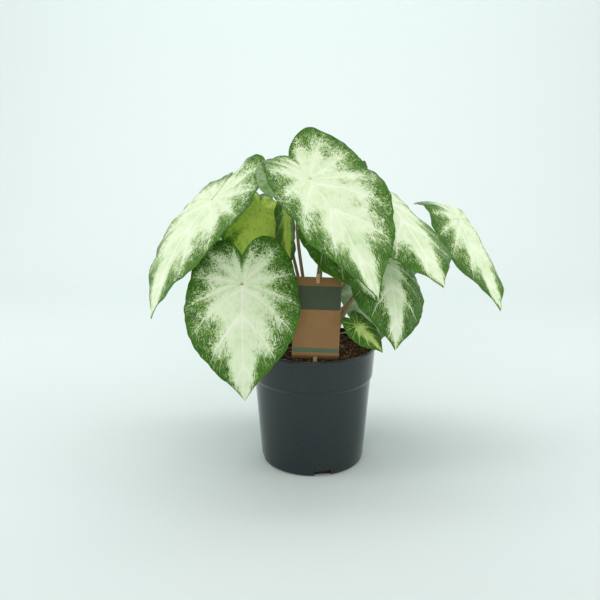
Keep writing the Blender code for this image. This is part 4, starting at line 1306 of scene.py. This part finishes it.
def card_mesh():
    """The card, creased into a panel and two flaps, with soft creases and a map of its face."""
    up, lean, back, height = card_line()
    rows = len(up)
    columns = CARD_COLUMNS
    x = CARD_WIDTH * (np.arange(columns) / (columns - 1) - 0.5)
    bow = CARD_BOW * (1 - (2 * x / CARD_WIDTH) ** 2)
    points, faces, maps = [], [], []
    for face in (-1, 1):
        for i in range(rows):
            half = face * CARD_THICKNESS / 2
            points += [(x[c], back[i] - bow[c] + half * math.cos(lean[i]),
                        height[i] + half * math.sin(lean[i])) for c in range(columns)]

    def put(ring):
        """A face through corners given by their side of the card, row and column."""
        faces.append(tuple((rows if face > 0 else 0) * columns + i * columns + c
                           for face, i, c in ring))
        maps.extend((x[c], up[i], face) for face, i, c in ring)

    last = rows - 1
    for i in range(last):
        for c in range(columns - 1):
            put([(-1, i, c), (-1, i, c + 1), (-1, i + 1, c + 1), (-1, i + 1, c)])
            put([(1, i, c), (1, i + 1, c), (1, i + 1, c + 1), (1, i, c + 1)])
        put([(-1, i, 0), (-1, i + 1, 0), (1, i + 1, 0), (1, i, 0)])
        put([(-1, i, columns - 1), (1, i, columns - 1), (1, i + 1, columns - 1),
             (-1, i + 1, columns - 1)])
    for c in range(columns - 1):
        put([(-1, 0, c), (1, 0, c), (1, 0, c + 1), (-1, 0, c + 1)])
        put([(-1, last, c), (-1, last, c + 1), (1, last, c + 1), (1, last, c)])
    turn = card_matrix()
    mesh = mesh_from_points("plant_card", [turn @ Vector(p) for p in points], faces)
    maps = np.array(maps)
    total = CARD_FOOT_FLAP + CARD_PANEL_HEIGHT + CARD_TOP_FLAP
    beside = 0.25 + 0.5 * (maps[:, 2] > 0) + 0.46 * maps[:, 0] / CARD_WIDTH
    add_uv(mesh, "OFBake", np.stack([beside, (maps[:, 1] + CARD_FOOT_FLAP) / total], -1))
    add_uv(mesh, "Card", maps[:, :2])
    add_uv(mesh, "Face", np.stack([maps[:, 2], 0 * maps[:, 2]], -1))
    return mesh


def card_finish(look):
    """Kraft card with flecks, matt green printed bands on its front, and worn edges."""
    f = Finish("kraft_card", Specular_IOR_Level=0.3)
    across, up = f.uv("Card")
    front = 1 - f.ease(f.uv("Face")[0], -0.5, 0.5)
    place = f.join(across, up, front)
    fleck = f.noise(place, 1.1, detail=4.0, rough=0.6)
    thread = f.noise(f.join(across * 0.25, up * 2.0, 3.0), 1.5, detail=3.0)
    cloud = f.noise(place, 16.0, detail=2.0)
    darker = tuple(c * 0.78 for c in look.kraft)
    kraft = f.mix(f.ease(cloud, 0.3, 0.7) * 0.4, look.kraft, darker)
    kraft = f.mix(f.ease(fleck, 0.56, 0.68) * 0.35, kraft, tint(104, 76, 46))
    kraft = f.mix(f.ease(thread, 0.58, 0.7) * 0.25, kraft, tint(186, 152, 108))
    wobble = (fleck - 0.5) * 0.25
    wide = f.band(up + wobble, *WIDE_BAND, 0.15)
    thin = f.band(up + wobble, *THIN_BAND, 0.15)
    ink = 0.93 - f.ease(fleck, 0.55, 0.75) * 0.25
    skin = f.mix(wide * front * ink, kraft, look.print_green)
    skin = f.mix(thin * front * ink, skin, look.thin_green)
    edge = f.ease(abs(across), CARD_WIDTH / 2 - 0.9, CARD_WIDTH / 2 - 0.1)
    skin = f.mix(edge * 0.35, skin, tint(176, 142, 98))
    rough = 0.78 - wide * 0.12 + (fleck - 0.5) * 0.15
    return f.show(skin, rough, fleck * 0.10 + thread * 0.08, 0.5)


def stick_mesh():
    """A flat wooden stick with worn corners, from above the card down into the soil."""
    lean = math.radians(CARD_TOP_LEAN)
    top = CARD_PANEL_HEIGHT + CARD_TOP_FLAP * math.cos(lean) + STICK_ABOVE
    place = Matrix.Translation((0, STICK_BEHIND, (top - STICK_BELOW) / 2))
    size = Matrix.Diagonal((STICK_WIDTH, STICK_DEPTH, top + STICK_BELOW, 1.0))
    bm = bmesh.new()
    bmesh.ops.create_cube(bm, size=1.0, matrix=place @ size)
    bmesh.ops.bevel(bm, geom=bm.edges[:], offset=STICK_BEVEL, segments=2, affect="EDGES")
    ends = [e for e in bm.edges if abs(e.verts[0].co.z - e.verts[1].co.z) > 5]
    bmesh.ops.subdivide_edges(bm, edges=ends, cuts=STICK_CUTS)
    chance = random.Random(5)
    for vertex in bm.verts:
        vertex.co.x += 0.06 * math.sin(vertex.co.z * 0.35) + chance.uniform(-0.02, 0.02)
    bm.transform(card_matrix())
    mesh = mesh_from_bmesh("stick_wood", bm)
    mesh.set_sharp_from_angle(angle=math.radians(STICK_SHARP_FROM))
    return mesh


def wood_finish(look):
    """Pale wood with fine grain along the stick, darker where it is damp."""
    f = Finish("stick_wood", Specular_IOR_Level=0.35)
    place = f.place()
    x, y, z = f.split(place)
    grain = f.noise(f.join(x * 2.2, y * 2.2, z * 0.05), 1.0, detail=4.0)
    speck = f.noise(place, 0.9, detail=3.0)
    skin = f.mix(f.ease(grain, 0.4, 0.68) * 0.7, look.wood, tint(150, 112, 70))
    skin = f.mix((1 - f.ease(z, SOIL_TOP - 4.0, SOIL_TOP + 10.0)) * 0.6, skin, tint(96, 66, 42))
    return f.show(skin, 0.62 + (speck - 0.5) * 0.2, grain * 0.2 + speck * 0.08, 0.7)


class CALADIUM_OT_card(bpy.types.Operator):
    """Make the plant card and the stick that holds it"""

    bl_idname = "caladium.card"
    bl_label = "Card and stick"

    def execute(self, context):
        look = context.scene.caladium_card
        new_piece("plant_card", card_mesh(), card_finish(look), ["card"])
        new_piece("stick_wood", stick_mesh(), wood_finish(look), ["stick"])
        return {"FINISHED"}


class StageLook(bpy.types.PropertyGroup):
    """Backdrop and light."""

    backdrop: colour("Backdrop", "Colour of the floor and wall", tint(223, 233, 231))
    light: FloatProperty(name="Light", description="Power of the studio lights against the usual",
                         default=0.92, min=0.0, max=10.0)


def backdrop_mesh():
    """Floor that curves up into a wall behind the plant."""
    curve_steps = 16
    line = [(FLOOR_FRONT, 0.0), (WALL_PLACE - WALL_CURVE, 0.0)]
    for i in range(1, curve_steps + 1):
        a = math.radians(90 * i / curve_steps)
        line.append((WALL_PLACE - WALL_CURVE + WALL_CURVE * math.sin(a),
                     WALL_CURVE - WALL_CURVE * math.cos(a)))
    line.append((WALL_PLACE, WALL_HEIGHT))
    points = [(x, y, z) for y, z in line for x in (-STAGE_HALF_WIDTH, STAGE_HALF_WIDTH)]
    faces = [(2 * i, 2 * i + 1, 2 * i + 3, 2 * i + 2) for i in range(len(line) - 1)]
    return mesh_from_points("backdrop", points, faces)


def backdrop_finish(look):
    """Matt paint with a faint change of tone."""
    f = Finish("backdrop", Specular_IOR_Level=0.1)
    tone = f.noise(f.place(), 600.0)
    darker = tuple(c * 0.97 for c in look.backdrop)
    return f.show(f.mix(tone * 0.1, look.backdrop, darker), 0.9)


def add_lamp(name, place, target, size, power):
    """A rectangular lamp that shines from its place towards a target."""
    lamp = bpy.data.lights.new(name, "AREA")
    lamp.shape = "RECTANGLE"
    lamp.size, lamp.size_y = size
    lamp.energy = power
    made = placed(name, lamp)
    made.location = place
    made.rotation_euler = (Vector(target) - Vector(place)).to_track_quat("-Z", "Y").to_euler()


def add_sky(strength):
    """White light from all round."""
    world = bpy.data.worlds.new("studio")
    world.use_nodes = True
    sky = world.node_tree.nodes["Background"]
    sky.inputs["Color"].default_value = (1.0, 1.0, 1.0, 1.0)
    sky.inputs["Strength"].default_value = strength
    bpy.context.scene.world = world


def add_camera():
    """The camera, fitted to the pot's rim and foot."""
    lens = bpy.data.cameras.new("camera")
    lens.sensor_width = SENSOR_WIDTH
    lens.lens = SENSOR_WIDTH * FOCAL_LENGTH / FRAME_WIDTH
    camera = placed("camera", lens)
    camera.location = Vector(CAMERA_PLACE) * MM
    camera.rotation_euler = (math.radians(90 - CAMERA_DIP), 0.0, 0.0)
    bpy.context.scene.camera = camera


class CALADIUM_OT_stage(bpy.types.Operator):
    """Make the backdrop, the lights and the camera"""

    bl_idname = "caladium.stage"
    bl_label = "Stage"

    def execute(self, context):
        look = context.scene.caladium_stage
        backdrop = placed("backdrop", backdrop_mesh())
        backdrop.data.materials.append(backdrop_finish(look))
        add_sky(SKY_STRENGTH * look.light)
        for name, place, target, size, power in LAMPS:
            add_lamp(name, place, target, size, power * look.light)
        add_camera()
        context.scene.view_settings.view_transform = "Standard"
        return {"FINISHED"}


class CALADIUM_PT_panel(bpy.types.Panel):
    """Sizes, colours and steps of the potted caladium"""

    bl_idname = "CALADIUM_PT_panel"
    bl_label = "Potted caladium"
    bl_space_type = "VIEW_3D"
    bl_region_type = "UI"
    bl_category = "Caladium"

    def draw(self, context):
        for operator in OPERATORS:
            self.layout.operator(operator.bl_idname)
        for name in LOOKS:
            box = self.layout.box()
            look = getattr(context.scene, name)
            for prop in look.bl_rna.properties:
                if not prop.is_readonly and prop.identifier != "name":
                    box.prop(look, prop.identifier)


LOOKS = {
    "caladium_leaf": LeafLook,
    "caladium_pot": PotLook,
    "caladium_soil": SoilLook,
    "caladium_card": CardLook,
    "caladium_stage": StageLook,
}
OPERATORS = (CALADIUM_OT_stage, CALADIUM_OT_pot, CALADIUM_OT_soil, CALADIUM_OT_card,
             CALADIUM_OT_leaves)


def register():
    """Tell Blender of the classes, and keep the user's sizes and colours with the scene."""
    for name, look in LOOKS.items():
        bpy.utils.register_class(look)
        setattr(bpy.types.Scene, name, PointerProperty(type=look))
    for operator in OPERATORS:
        bpy.utils.register_class(operator)
    bpy.utils.register_class(CALADIUM_PT_panel)


def unregister():
    """Take the classes and the sizes and colours away again."""
    bpy.utils.unregister_class(CALADIUM_PT_panel)
    for operator in OPERATORS:
        bpy.utils.unregister_class(operator)
    for name, look in LOOKS.items():
        delattr(bpy.types.Scene, name)
        bpy.utils.unregister_class(look)


def main():
    """Build everything."""
    register()
    for operator in OPERATORS:
        family, step = operator.bl_idname.split(".")
        getattr(getattr(bpy.ops, family), step)()


if __name__ == "__main__":
    main()
